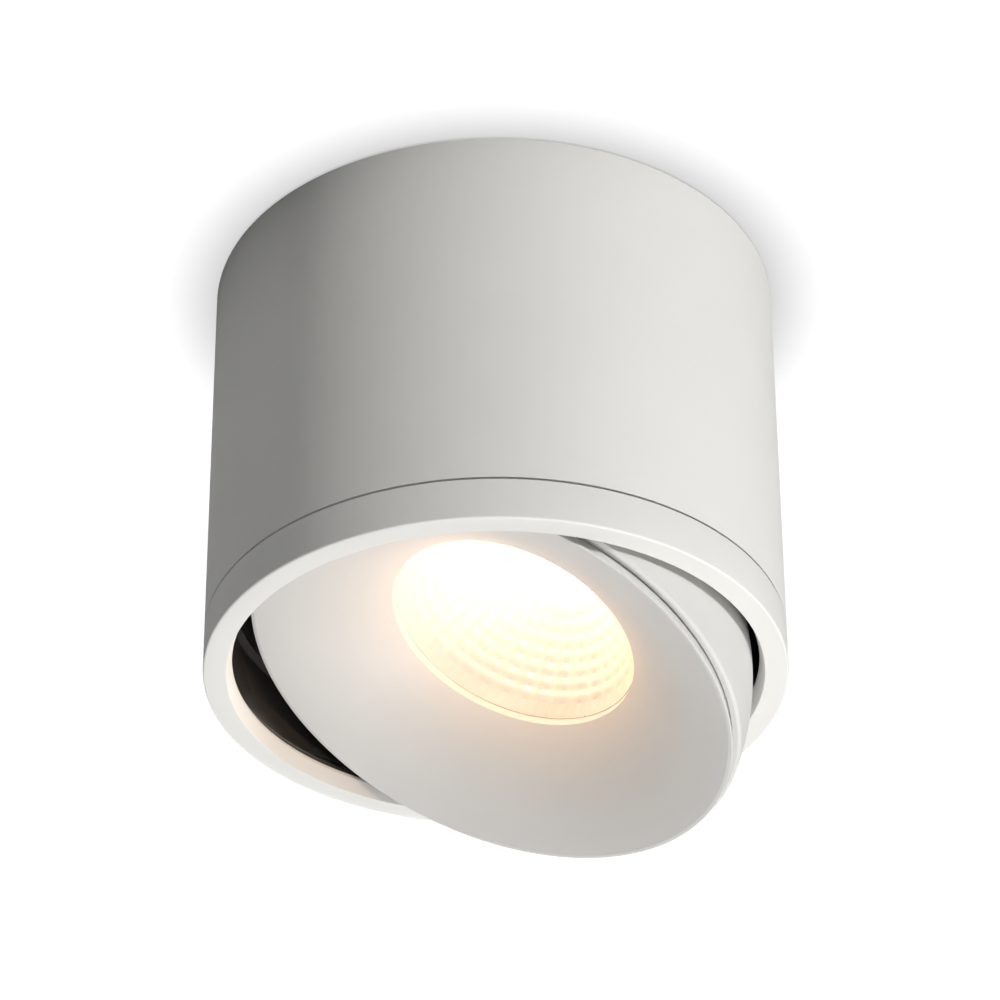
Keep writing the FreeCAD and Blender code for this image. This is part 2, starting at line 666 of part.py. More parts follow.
def trim_ring():
    item = new_body("trim_ring")
    chamfer = dim.ring_edge
    small = dim.edge_break
    turned(item, "ring", [
        (ring_bore_r, face_z),
        (housing_r - chamfer, face_z),
        (housing_r, face_z + chamfer),
        (housing_r, ring_top_z - small),
        (housing_r - small, ring_top_z),
        (seat_r, ring_top_z),
        (seat_r, seat_z),
        (lip_r, seat_z),
        (lip_r, lip_z)])
    sketch = new_sketch(item, "XZ_Plane", "pivot_notch_outline")
    boss_outline(sketch, dim.boss_r + dim.fit_gap, seat_z + dim.fit_gap)
    item.Tip = extruded(item, "pivot_notches", sketch, seat_r * 2.0, cut=True, both=True)
    return in_gimbal(item)


def inner_barrel():
    """Black barrel on the trim ring: it hides the works, carries the pivots and turns."""
    item = new_body("inner_barrel")
    inner_step = shoulder_z - dim.barrel_wall
    turned(item, "wall", [
        (barrel_bore_r, seat_z),
        (barrel_r, seat_z),
        (barrel_r, shoulder_z),
        (neck_r, shoulder_z),
        (neck_r, snap_low_z),
        (snap_bore_r, snap_low_z),
        (snap_bore_r, snap_top_z),
        (neck_r, snap_top_z),
        (neck_r, neck_top_z),
        (neck_bore_r, neck_top_z),
        (neck_bore_r, inner_step),
        (barrel_bore_r, inner_step - dim.neck_step)])
    sketch = new_sketch(item, "XZ_Plane", "boss_outline", offset=lip_r)
    boss_outline(sketch, dim.boss_r, pivot_z + dim.boss_rise)
    boss_back = leg(barrel_r, dim.boss_r)
    boss = extruded(item, "pivot_boss", sketch, boss_back - lip_r)
    round_copies(item, "both_bosses", [boss], 2.0)
    pin_hole = new_sketch(item, "XZ_Plane", "pin_circle")
    round_hole(pin_hole, pivot_z, dim.pin_body_d / 2 + dim.press_gap)
    extruded(item, "pin_holes", pin_hole, housing_r * 2.0, cut=True, both=True)
    stop_hole = new_sketch(item, "YZ_Plane", "stop_circle")
    round_hole(stop_hole, stop_z, dim.stop_pin_d / 2 + dim.press_gap)
    item.Tip = extruded(item, "stop_hole", stop_hole, housing_r, cut=True)
    item.Tip.Reversed = True
    return in_gimbal(item)


def round_hole(sketch, height, radius):
    """A circle on the vertical axis of an upright sketch."""
    sketch.addGeometry(Part.Circle(V(0, height.value, 0), V(0, 0, 1), radius.value))
    pin(sketch, "DistanceX", 0, 3, plain(0.0))
    pin(sketch, "DistanceY", 0, 3, height)
    tied = sketch.addConstraint(Sketcher.Constraint("Radius", 0, radius.value))
    sketch.setExpression(f"Constraints[{tied}]", radius.text)


def snap_ring():
    """Open ring in the barrel's groove; it rides on the slide ring and carries the barrel."""
    item = new_body("snap_ring")
    inner = snap_bore_r + dim.press_gap
    outer = snap_bore_r + dim.snap_width
    top = snap_top_z - dim.press_gap
    turned(item, "ring", [(inner, snap_low_z), (outer, snap_low_z), (outer, top), (inner, top)],
           angle=plain(360.0) - dim.snap_open)
    return in_gimbal(item)


def stop_pin():
    item = new_body("stop_pin")
    inner = neck_bore_r
    sketch = new_sketch(item, "YZ_Plane", "pin_circle", offset=inner)
    round_hole(sketch, stop_z, dim.stop_pin_d / 2)
    extruded(item, "pin", sketch, upper_bore_r - dim.slide_gap - inner)
    return in_gimbal(item)


def pivot_pins():
    """Two stepped pins: the body sits in the barrel's boss, the tip runs in the head."""
    item = new_body("pivot_pins")
    tip = shell_seat_r - dim.pad_thick + dim.fit_gap
    sketch = new_sketch(item, "XZ_Plane", "tip_circle", offset=tip)
    round_hole(sketch, pivot_z, dim.pin_d / 2)
    nose = extruded(item, "tip", sketch, lip_r - tip)
    body_sketch = new_sketch(item, "XZ_Plane", "body_circle", offset=lip_r)
    round_hole(body_sketch, pivot_z, dim.pin_body_d / 2)
    shank = extruded(item, "shank", body_sketch, leg(barrel_r, dim.boss_r) - lip_r)
    round_copies(item, "both_pins", [nose, shank], 2.0)
    return in_gimbal(item)


def bump_stops():
    """Two rubber pads on the neck that the heat sink meets at the ends of its tilt."""
    item = new_body("bump_stops")
    outer = neck_bore_r - dim.press_gap
    low = bump_z - dim.bump_height / 2
    pad = turned(item, "pad", [(bump_face_r, low), (outer, low), (outer, bump_top_z),
                               (bump_face_r, bump_top_z)],
                 angle=dim.bump_angle, turn=-(dim.bump_angle / 2))
    round_copies(item, "both_pads", [pad], 2.0)
    return in_gimbal(item)


# ---- what tilts with the beam ----
def head_shell():
    """Ball-shaped wall behind the mouth, with a rear flange and two pivot pads."""
    item = new_body("head_shell")
    chamfer = dim.head_chamfer
    front = shell_front
    edge = leg(ball_r, front + chamfer - dim.ball_depth)
    ledge = leg(inner_ball_r, dim.skirt_end - dim.ball_depth)
    inner_rear = leg(inner_ball_r, flange_front - dim.ball_depth)
    turned(item, "dome", [
        (shell_seat_r, back(front)),
        (edge - chamfer, back(front)),
        (edge, back(front + chamfer)),
        (rear_r, back(shell_depth)),
        (opening_r, back(shell_depth)),
        (opening_r, back(flange_front)),
        (inner_rear, back(flange_front)),
        (ledge, back(dim.skirt_end)),
        (shell_seat_r, back(dim.skirt_end))],
        {2: (ball_r, 1), 6: (inner_ball_r, -1)})
    half = dim.pad_width / 2
    pad_low = back(front) + dim.fit_gap
    pad = block(item, "pivot_pad", (-half, half),
                (shell_seat_r - dim.pad_thick, shell_seat_r + dim.groove_depth / 2),
                pad_low, pad_low + dim.pad_length)
    round_copies(item, "both_pads", [pad], 2.0)
    sketch = new_sketch(item, "XZ_Plane", "pivot_circle")
    round_hole(sketch, plain(0.0), dim.pin_d / 2 + dim.pin_gap)
    extruded(item, "pivot_bore", sketch, housing_r * 2.0, cut=True, both=True)
    flange_holes(item, back(flange_front), back(shell_depth))
    return in_head(item)


def flange_holes(item, low, high):
    """Three screw holes and the lead's hole, through the flange or the heat sink's base."""
    x, y = screw_place()
    hole = disc(item, "screw_hole", x, y, fit_r, low, high, cut=True)
    round_copies(item, "three_screw_holes", [hole], 3.0)
    lead = dim.lead_bore_d / 2 + dim.lead_wall + dim.press_gap
    item.Tip = disc(item, "lead_hole", 0.0, screw_circle_r, lead, low, high, cut=True)


def screw_place():
    """First of the three head screws."""
    turn = dim.head_screw_turn
    return screw_circle_r * cosine(turn), screw_circle_r * sine(turn)


def front_baffle():
    """White dish with its rim, skirt, collar and three screw posts."""
    item = new_body("front_baffle")
    wall = dim.dish_wall
    turned(item, "dish", [
        (dish_r, back(plain(0.0))),
        (mouth_r, back(plain(0.0))),
        (mouth_r, back(dim.rim_thick)),
        (skirt_r, back(dim.rim_thick)),
        (skirt_r, back(dim.skirt_end)),
        (skirt_bore_r, back(dim.skirt_end)),
        (skirt_bore_r, back(dim.rim_thick + wall)),
        (collar_r, back(dim.throat_depth + wall / 2)),
        (collar_r, back(dim.throat_depth + dim.collar_length)),
        (throat_r, back(dim.throat_depth + dim.collar_length)),
        (throat_r, back(dim.throat_depth))],
        {6: (dim.dish_bow_r, -1), 10: (dim.dish_bow_r, 1)})
    x, y = screw_place()
    post_r = dim.head_screw_d / 2 + dim.post_wall
    post = disc(item, "post", x, y, post_r, back(dim.skirt_end), back(flange_front))
    round_copies(item, "three_posts", [post], 3.0)
    front = back(-dim.rim_thick)
    turned(item, "hollow", [
        (0.0, front),
        (dish_r, front),
        (dish_r, back(plain(0.0))),
        (throat_r, back(dim.throat_depth)),
        (0.0, back(dim.throat_depth))],
        {2: (dim.dish_bow_r, -1)}, cut=True)
    deep = back(flange_front)
    hole = disc(item, "post_hole", x, y, dim.head_screw_d / 2 + dim.press_gap,
                deep - dim.head_screw_bite, deep, cut=True)
    round_copies(item, "three_post_holes", [hole], 3.0)
    half = dim.pad_width / 2 + dim.fit_gap
    notch = block(item, "pad_notch", (-half, half),
                  (skirt_bore_r - dim.skirt_wall, skirt_r + dim.skirt_wall),
                  back(shell_front), back(dim.skirt_end), cut=True)
    round_copies(item, "both_notches", [notch], 2.0)
    return in_head(item)


def row_radius(share):
    """Radius of the reflector's parabola at a share of its length, from the rim."""
    rim = dim.reflector_rim_d / 2
    end = dim.reflector_end_d / 2
    share = plain(share)
    return root(rim * rim * (plain(1.0) - share) + end * end * share)


def reflector():
    """Faceted parabolic cup: rows of flat facets cut into a smooth outer shell."""
    outer = new_body("reflector_outer")
    rim = throat_r - dim.fit_gap
    wall = dim.reflector_wall
    neck = dim.reflector_rim_d / 2 + wall / 2
    flange_back = reflector_front + dim.reflector_flange
    turned(outer, "outer", [
        (0.0, back(reflector_front)),
        (rim, back(reflector_front)),
        (rim, back(flange_back)),
        (neck, back(flange_back)),
        (dim.reflector_end_d / 2 + wall, back(reflector_back)),
        (0.0, back(reflector_back))],
        {3: (dim.reflector_bow_r, 1)})
    rows = 6
    rings = []
    for number in range(rows + 1):
        share = number / rows
        ring = doc.addObject("Part::RegularPolygon", f"facet_row_{number}")
        bind(ring, "Polygon", dim.facets_round)
        bind(ring, "Circumradius", row_radius(share))
        bind(ring, ".Placement.Base.z", back(reflector_front + reflector_length * share))
        rings.append(ring)
    cavity = doc.addObject("Part::Loft", "facet_cavity")
    cavity.Sections = rings
    cavity.Solid = True
    cavity.Ruled = True
    item = doc.addObject("Part::Cut", "reflector")
    item.Label = "reflector"
    item.Base = outer
    item.Tool = cavity
    return in_head(item)


def led_holder():
    """White plastic frame that clamps the LED board and carries the reflector."""
    item = new_body("led_holder")
    front = pedestal_front - dim.holder_height
    pocket_r = dim.reflector_end_d / 2 + dim.reflector_wall + dim.fit_gap
    window_r = dim.reflector_end_d / 2 + dim.fit_gap
    share = (front - reflector_front) / reflector_length
    step_r = row_radius(share) + dim.reflector_wall * 1.5
    turned(item, "frame", [
        (window_r, back(reflector_back)),
        (pocket_r, back(reflector_back)),
        (step_r, back(front)),
        (holder_r, back(front)),
        (holder_r, back(pedestal_front)),
        (window_r, back(pedestal_front))])
    half = dim.board_side / 2 + dim.fit_gap
    block(item, "board_pocket", (-half, half), (-half, half), back(board_front),
          back(pedestal_front), cut=True)
    hole = disc(item, "screw_hole", dim.holder_screw_r, 0.0, dim.small_screw_d / 2 + dim.fit_gap,
                back(front), back(pedestal_front), cut=True)
    round_copies(item, "both_screw_holes", [hole], 2.0)
    return in_head(item)


def square_plate(name, half, front, rear):
    item = new_body(name)
    block(item, "plate", (-half, half), (-half, half), back(front), back(rear))
    return in_head(item)


def led_board():
    return square_plate("led_board", dim.board_side / 2, board_front, board_back)


def thermal_pad():
    return square_plate("thermal_pad", dim.board_side / 2, board_back, pedestal_front)


def led_emitter():
    item = new_body("led_emitter")
    disc(item, "phosphor", 0.0, 0.0, dim.emitter_d / 2, back(board_front - dim.emitter_thick),
         back(board_front))
    return in_head(item)


def holder_screws():
    item = new_body("holder_screws")
    front = back(pedestal_front - dim.holder_height)
    head = disc(item, "head", dim.holder_screw_r, 0.0, dim.small_head_d / 2,
                front - dim.small_head_thick, front)
    shank = disc(item, "shank", dim.holder_screw_r, 0.0, dim.small_screw_d / 2,
                 front, back(shell_depth))
    round_copies(item, "both_screws", [head, shank], 2.0)
    return in_head(item)


def heat_sink():
    """Turned base and core with straight radial fins."""
    item = new_body("heat_sink")
    core_r = dim.core_d / 2
    turned(item, "base", [
        (0.0, back(pedestal_front)),
        (holder_r, back(pedestal_front)),
        (holder_r, back(shell_depth)),
        (base_r, back(shell_depth)),
        (base_r, back(base_back)),
        (core_r, back(base_back)),
        (core_r, fin_top),
        (0.0, fin_top)])
    fin = block(item, "fin", (core_r / 2, fin_r), (-(dim.fin_thick / 2), dim.fin_thick / 2),
                back(base_back - dim.base_thick / 2), fin_top)
    round_copies(item, "all_fins", [fin], dim.fin_count)
    flange_holes(item, back(shell_depth), back(base_back))
    hole = disc(item, "holder_hole", dim.holder_screw_r, 0.0, dim.small_screw_d / 2 + dim.press_gap,
                back(pedestal_front), back(shell_depth), cut=True)
    round_copies(item, "holder_holes", [hole], 2.0)
    return in_head(item)


def head_screws():
    """Three screws that clamp heat sink, head shell and baffle together."""
    item = new_body("head_screws")
    x, y = screw_place()
    top = back(base_back)
    head = disc(item, "head", x, y, dim.head_screw_head_d / 2, top, top + dim.head_screw_head_thick)
    shank = disc(item, "shank", x, y, dim.head_screw_d / 2,
                 back(flange_front) - dim.head_screw_bite, top)
    round_copies(item, "three_screws", [head, shank], 3.0)
    return in_head(item)


def lead_grommet():
    item = new_body("lead_grommet")
    waist = dim.lead_bore_d / 2 + dim.lead_wall
    low = back(flange_front)
    top = back(base_back)
    disc(item, "waist", 0.0, screw_circle_r, waist, low, top)
    disc(item, "collar", 0.0, screw_circle_r, waist + dim.lead_collar, top, top + dim.lead_collar)
    disc(item, "bore", 0.0, screw_circle_r, dim.lead_bore_d / 2, low, top + dim.lead_collar, cut=True)
    return in_head(item)


PIECES = [mounting_plate, cable_grommet, lock_studs, housing_shell, driver_case, driver_cover,
          driver_screws, terminal_block, terminal_screws, slide_ring, trim_ring, inner_barrel,
          snap_ring, stop_pin, pivot_pins, bump_stops, head_shell, front_baffle, reflector,
          led_holder, led_board, thermal_pad, led_emitter, holder_screws, heat_sink, head_screws,
          lead_grommet]

pieces = [make() for make in PIECES]
doc.recompute()

for item in doc.Objects:
    if "Invalid" in item.State or "Error" in item.State:
        raise RuntimeError(f"{item.Name} did not build: {item.State}")
for item in pieces:
    if item.Shape.isNull() or not item.Shape.isValid():
        raise RuntimeError(f"{item.Label} has no valid shape")

os.makedirs("parts", exist_ok=True)
for item in pieces:
    item.Shape.exportStep(os.path.join("parts", f"{item.Label}.step"))
    print(f"{item.Label:16s} solids {len(item.Shape.Solids)}  volume {item.Shape.Volume:10.1f}")
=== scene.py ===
"""Surface mounted ceiling spotlight: surfaces, finishes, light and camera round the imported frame."""

import json
import math

import bmesh
import bpy
from mathutils import Matrix, Vector


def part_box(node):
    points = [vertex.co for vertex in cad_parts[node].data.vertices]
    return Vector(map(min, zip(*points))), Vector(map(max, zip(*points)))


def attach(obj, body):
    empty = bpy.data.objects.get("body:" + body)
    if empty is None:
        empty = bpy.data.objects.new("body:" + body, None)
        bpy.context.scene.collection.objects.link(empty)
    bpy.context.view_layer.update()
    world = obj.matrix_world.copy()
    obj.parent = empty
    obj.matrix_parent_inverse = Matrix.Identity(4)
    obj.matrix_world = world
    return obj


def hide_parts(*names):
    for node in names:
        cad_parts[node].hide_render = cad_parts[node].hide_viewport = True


bl_info = {
    "name": "Ceiling spotlight",
    "version": (1, 0, 0),
    "blender": (4, 5, 0),
    "location": "3D View > Sidebar > Spotlight",
    "description": "Builds the turned, faceted and painted surfaces of a ceiling spotlight",
    "category": "Object",
}

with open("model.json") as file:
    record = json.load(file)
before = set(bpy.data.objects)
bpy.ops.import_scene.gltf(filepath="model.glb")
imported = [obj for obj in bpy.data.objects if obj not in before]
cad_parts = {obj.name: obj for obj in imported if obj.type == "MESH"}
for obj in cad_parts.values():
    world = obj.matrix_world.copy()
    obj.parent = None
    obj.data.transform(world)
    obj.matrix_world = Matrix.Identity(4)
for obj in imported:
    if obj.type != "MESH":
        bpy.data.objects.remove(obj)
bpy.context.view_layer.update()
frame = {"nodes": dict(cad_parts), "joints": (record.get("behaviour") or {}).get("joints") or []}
MM = 0.001


def hex_colour(text):
    """sRGB hex to the linear colour that a shader takes."""
    channels = [int(text[i:i + 2], 16) / 255 for i in (1, 3, 5)]
    return [c / 12.92 if c <= 0.04045 else ((c + 0.055) / 1.055) ** 2.4 for c in channels]


def joint(name):
    return [j for j in frame["joints"] if j["name"] == name][0]


# ---- sizes and colours that a user would change ----
def length(name, millimetres, text):
    return bpy.props.FloatProperty(name=name, description=text, default=millimetres * MM,
                                   min=0.0, unit="LENGTH", subtype="DISTANCE")


def angle(name, degrees, text):
    return bpy.props.FloatProperty(name=name, description=text, default=math.radians(degrees),
                                   unit="ROTATION", subtype="ANGLE")


def colour(name, text_hex, text):
    return bpy.props.FloatVectorProperty(name=name, description=text, size=3, min=0.0, max=1.0,
                                         subtype="COLOR", default=hex_colour(text_hex))


class HousingSizes(bpy.types.PropertyGroup):
    """Cylinder, trim ring and barrel, measured from the ceiling down."""
    radius: length("Radius", 50.0, "Outside radius of the housing and the trim ring")
    height: length("Height", 78.5, "Ceiling to the lower face of the trim ring")
    ceiling_gap: length("Ceiling gap", 0.4, "Shadow gap under the ceiling")
    wall: length("Wall", 1.8, "Wall of the housing above its bearing shelf")
    foot_wall: length("Foot wall", 2.3, "Wall of the housing below its bearing shelf")
    deck_top: length("Deck", 6.0, "Ceiling to the top of the deck")
    deck_thick: length("Deck thickness", 2.0, "Thickness of the deck")
    shelf_bore: length("Shelf bore", 47.38, "Radius of the bearing shelf's bore")
    shelf_low: length("Shelf", 61.0, "Ceiling to the underside of the bearing shelf")
    shelf_thick: length("Shelf thickness", 3.0, "Thickness of the bearing shelf")
    ring_height: length("Ring height", 7.6, "Height of the trim ring")
    seam: length("Seam", 0.4, "Gap between the trim ring and the housing")
    face_width: length("Face width", 4.0, "Width of the trim ring's lower face")
    lip_reach: length("Lip reach", 0.9, "How far the ring's inner wall closes in to its lip")
    lip_rise: length("Lip rise", 2.5, "Lower face to the edge of the lip")
    lip_land: length("Lip land", 0.6, "Straight land of the lip")
    ring_edge: length("Ring edge", 0.4, "Rounding of the trim ring's lower outer edge")
    edge: length("Edge", 0.15, "Rounding of the edges at the ceiling and inside the ring")
    seam_edge: length("Seam edge", 0.06, "Rounding of the edges at the seam")
    barrel_radius: length("Barrel radius", 47.3, "Outside radius of the barrel")
    barrel_wall: length("Barrel wall", 1.0, "Wall of the barrel")
    bead: length("Bead", 0.5, "Height of the rolled bead inside the barrel's lower end")
    neck_step: length("Neck step", 1.0, "How far the barrel steps in to its neck")
    fit: length("Fit", 0.1, "Clearance between parts that plug together")
    boss_radius: length("Boss radius", 1.9, "Radius of the barrel's pivot bosses")
    boss_rise: length("Boss rise", 3.3, "Pivot boss above the tilting axis")


class HeadSizes(bpy.types.PropertyGroup):
    """Lamp head: radii from the beam's axis, depths behind the mouth."""
    pivot_depth: length("Pivot depth", 3.76, "Tilting axis behind the mouth")
    lean: angle("Lean", 23.24, "Angle between the beam and straight down at rest")
    lean_way: angle("Lean direction", 201.15, "Direction that the head leans to, from +X")
    ball_radius: length("Ball radius", 44.8, "Radius of the head's ball")
    ball_depth: length("Ball depth", 1.13, "Centre of the ball behind the mouth")
    wall: length("Wall", 1.8, "Wall of the head shell")
    shell_depth: length("Shell depth", 33.0, "Rear face of the head shell")
    flange: length("Flange", 2.0, "Thickness of the rear flange")
    opening: length("Opening", 22.5, "Radius of the rear opening")
    mouth: length("Mouth", 44.1, "Radius of the mouth's rim")
    rim_land: length("Rim land", 0.7, "Flat land round the mouth")
    rim_thick: length("Rim thickness", 0.55, "Thickness of the mouth's rim")
    groove: length("Groove", 1.75, "Shadow groove between rim and shell")
    groove_depth: length("Groove depth", 0.9, "Depth of the shadow groove")
    front_edge: length("Front edge", 0.45, "Chamfer of the shell's front edge")
    skirt_end: length("Skirt end", 6.1, "End of the baffle's skirt")
    skirt_wall: length("Skirt wall", 1.0, "Wall of the baffle's skirt")
    dish_wall: length("Dish wall", 1.1, "Wall of the dish")
    dish_bow: length("Dish bow", 62.0, "Radius of the dish's hollow")
    throat: length("Throat", 22.3, "Radius of the throat")
    throat_depth: length("Throat depth", 11.6, "End of the dish")
    collar: length("Collar", 4.4, "Length of the throat's collar")
    reflector_front: length("Reflector front", 13.0, "Rim of the reflector")
    reflector_back: length("Reflector back", 29.5, "Small end of the reflector")
    reflector_rim: length("Reflector rim", 20.9, "Open radius of the reflector's rim")
    reflector_end: length("Reflector end", 9.3, "Open radius of the reflector's small end")
    reflector_wall: length("Reflector wall", 1.0, "Wall of the reflector")
    reflector_flange: length("Reflector flange", 1.5, "Thickness of the rim flange")
    rim_band: length("Rim band", 2.3, "Smooth band between the reflector's rim and its facets")
    rim_lip: length("Rim lip", 0.15, "Flat lip of the reflector's rim")
    facet_bulge: length("Facet bulge", 0.26, "Height of a facet's pillow")
    emitter_radius: length("Emitter radius", 8.8, "Radius of the light-emitting face")
    emitter_thick: length("Emitter thickness", 0.5, "Thickness of the phosphor")
    facets_round: bpy.props.IntProperty(name="Facets round", default=36, min=8, max=96,
                                        description="Facets in one row round the reflector")
    facet_rows: bpy.props.IntProperty(name="Facet rows", default=7, min=2, max=16,
                                      description="Rows of facets between rim and LED")


class FinishColours(bpy.types.PropertyGroup):
    """What each finish looks like."""
    powder: colour("Powder coat", "#E6E5E1", "Matte white powder coat")
    powder_shade: colour("Powder shade", "#E1E0DC", "The same coat where it lies thinner")
    # Head coat: the housing's white drawn a shade greyer, as painted shade on the head
    head_powder_painted_shade: colour("Head coat", "#D5D4D1", "Matte white powder coat of the head")
    head_thin_painted_shade: colour("Head shade", "#D0CFCC", "The head's coat where it lies thinner")
    # Black lacquer lifted to dark grey: painted sheen on the barrel
    black: colour("Black", "#3B3835", "Gloss black lacquer")
    metallised: colour("Metallised", "#F6F2E9", "Vacuum-metallised plastic")
    glow: colour("Glow", "#FFF6E8", "Warm white light of the LED")
    spill: colour("Spill", "#FFBC7C", "Stray light of the LED round the throat")
    zinc: colour("Zinc", "#B9BAB8", "Bright zinc plating")
    steel: colour("Spring steel", "#4A4B4E", "Phosphated spring steel")
    anodised: colour("Anodised", "#17181A", "Black anodised aluminium")
    plastic: colour("Plastic", "#E3E2DE", "White moulded polyamide")
    acetal: colour("Acetal", "#DCDAD2", "Natural acetal")
    case: colour("Case", "#D2D2D0", "Pale grey polycarbonate")
    rubber: colour("Rubber", "#161616", "Black rubber")
    mask: colour("Mask", "#E6E6E2", "White solder mask")
    foil: colour("Foil", "#8A8C90", "Grey silicone foil")


class StudioLight(bpy.types.PropertyGroup):
    """Strengths of the lamps, the world and the ceiling."""
    side_power: bpy.props.FloatProperty(name="Side lamp", default=9.8, min=0.0,
                                        description="Power of the lamp on the right, in watts")
    ambient: bpy.props.FloatProperty(name="Ambient", description="Strength of the world's light",
                                     default=0.30, min=0.0)
    emitter: bpy.props.FloatProperty(name="Emitter", description="Strength of the LED's face",
                                     default=6.0, min=0.0)
    cup: bpy.props.FloatProperty(name="Cup", description="Power of the lamp in the reflector",
                                 default=0.0045, min=0.0)
    spill: bpy.props.FloatProperty(name="Spill", description="Power of the lamp in the throat",
                                   default=0.012, min=0.0)
    low_power: bpy.props.FloatProperty(name="Low lamp", default=10.9, min=0.0,
                                       description="Power of the lamp below, in watts")
    back_power: bpy.props.FloatProperty(name="Back and top lamps", default=8.5, min=0.0,
                                        description="Power of the lamps for other views, watts")
    ceiling: bpy.props.FloatProperty(name="Ceiling", description="Brightness of the ceiling",
                                     default=1.06, min=0.0)
    contact: bpy.props.FloatProperty(name="Contact shade", min=0.0, default=0.55,
                                     description="Brightness of the ceiling beside the housing")


def sizes():
    return bpy.context.scene.spot_housing, bpy.context.scene.spot_head


# ---- node helpers ----
def add(tree, kind, inputs=None, **settings):
    """Adds one node with its settings; inputs holds values or sockets to link, by name or number."""
    node = tree.nodes.new(kind)
    for key, value in settings.items():
        setattr(node, key, value)
    for key, value in (inputs or {}).items():
        if isinstance(value, bpy.types.NodeSocket):
            tree.links.new(value, node.inputs[key])
        else:
            node.inputs[key].default_value = value
    return node


def per(millimetres):
    """Scale of a pattern whose features are this far apart, in object coordinates."""
    return 1.0 / (millimetres * MM)


def rgba(linear):
    return (*linear, 1.0)


def new_material(name):
    material = bpy.data.materials.new(name)
    material.use_nodes = True
    material.node_tree.nodes.clear()
    return material, material.node_tree


def coated(name, light, dark, patch_mm, grain_mm, rough, rough_swing, bump, depth_mm,
           **surface):
    """A coat or moulding: slow change of tone, fine grain in roughness and height."""
    material, tree = new_material(name)
    place = add(tree, "ShaderNodeTexCoord").outputs["Object"]
    patches = add(tree, "ShaderNodeTexNoise", {"Vector": place, "Scale": per(patch_mm),
                                               "Detail": 3.0})
    grain = add(tree, "ShaderNodeTexNoise", {"Vector": place, "Scale": per(grain_mm),
                                             "Detail": 2.0, "Roughness": 0.45})
    tone = add(tree, "ShaderNodeMix", {"Factor": patches.outputs["Fac"], "A": rgba(dark),
                                       "B": rgba(light)}, data_type="RGBA")
    shine = add(tree, "ShaderNodeMapRange", {"Value": grain.outputs["Fac"],
                                             "To Min": rough - rough_swing,
                                             "To Max": rough + rough_swing})
    height = add(tree, "ShaderNodeBump", {"Height": grain.outputs["Fac"], "Strength": bump,
                                          "Distance": depth_mm * MM})
    values = {"Base Color": tone.outputs["Result"], "Roughness": shine.outputs["Result"],
              "Normal": height.outputs["Normal"]}
    values.update(surface)
    shader = add(tree, "ShaderNodeBsdfPrincipled", values)
    add(tree, "ShaderNodeOutputMaterial", {"Surface": shader.outputs["BSDF"]})
    return material


def powder_coat(name, light, dark):
    """White polyester powder coat on aluminium: sprayed and baked, so it is matte with a
    fine orange peel. The peel, about 0.5 mm across, only softens highlights at this distance.
    The head's coat is the same coat, drawn a shade greyer than that of the housing and the ring:
    painted shade on the head."""
    return coated(name, light, dark, 14.0, 0.5, 0.52, 0.05, 0.10, 0.03,
                  **{"IOR": 1.5, "Specular IOR Level": 0.35})


def black_lacquer():
    """Gloss black stove lacquer: a dark mirror with a trace of spray ripple. Its base is lifted to
    dark grey as a painted sheen.
    """
    look = bpy.context.scene.spot_colours
    return coated("black_lacquer", look.black, look.black, 6.0, 1.6, 0.22, 0.03, 0.12, 0.02,
                  **{"IOR": 1.5, "Coat Weight": 0.8, "Coat Roughness": 0.10})


def metallised_plastic():
    """ABS, vacuum metallised over a satin base coat: each facet glows with the LED's light
    instead of mirroring it sharply."""
    look = bpy.context.scene.spot_colours
    return coated("metallised_plastic", look.metallised, look.metallised, 9.0, 0.8, 0.30, 0.05,
                  0.05, 0.02, Metallic=0.45)


def plated_steel(name, tone, rough):
    """Plated pressed steel: rolled sheet with a soft cloudy shine."""
    return coated(name, tone, [c * 0.82 for c in tone], 7.0, 0.6, rough, 0.08, 0.12, 0.03,
                  Metallic=1.0)


def moulded(name, tone, rough, grain_mm=0.7):
    """Spark-eroded mould finish: dull, even, with a fine grain."""
    return coated(name, tone, [c * 0.93 for c in tone], 11.0, grain_mm, rough, 0.06, 0.2, 0.05,
                  IOR=1.46)


def phosphor():
    """Phosphor in silicone over the LED chips: it is the light source, a little uneven from
    chip to chip, and burns out to white in the picture."""
    material, tree = new_material("phosphor")
    look, light = bpy.context.scene.spot_colours, bpy.context.scene.spot_light
    place = add(tree, "ShaderNodeTexCoord").outputs["Object"]
    chips = add(tree, "ShaderNodeTexVoronoi", {"Vector": place, "Scale": per(1.6)})
    level = add(tree, "ShaderNodeMapRange", {"Value": chips.outputs["Distance"],
                                             "To Min": light.emitter * 1.05,
                                             "To Max": light.emitter * 0.9})
    shader = add(tree, "ShaderNodeBsdfPrincipled",
                 {"Base Color": rgba(hex_colour("#F2D679")), "Roughness": 0.45, "IOR": 1.41,
                  "Emission Color": rgba(look.glow), "Emission Strength": level.outputs["Result"]})
    add(tree, "ShaderNodeOutputMaterial", {"Surface": shader.outputs["BSDF"]})
    return material


# ---- mesh helpers ----
def head_matrix():
    """From the head's own frame, with its origin on the tilting axis, to the row frame."""
    head = bpy.context.scene.spot_head
    pivot = Vector(joint("tilt")["pos_m"])
    turn = Matrix.Rotation(head.lean_way, 4, "Z")
    return Matrix.Translation(pivot) @ turn @ Matrix.Rotation(-head.lean, 4, "Y")


def gimbal_matrix():
    return Matrix.Rotation(bpy.context.scene.spot_head.lean_way, 4, "Z")


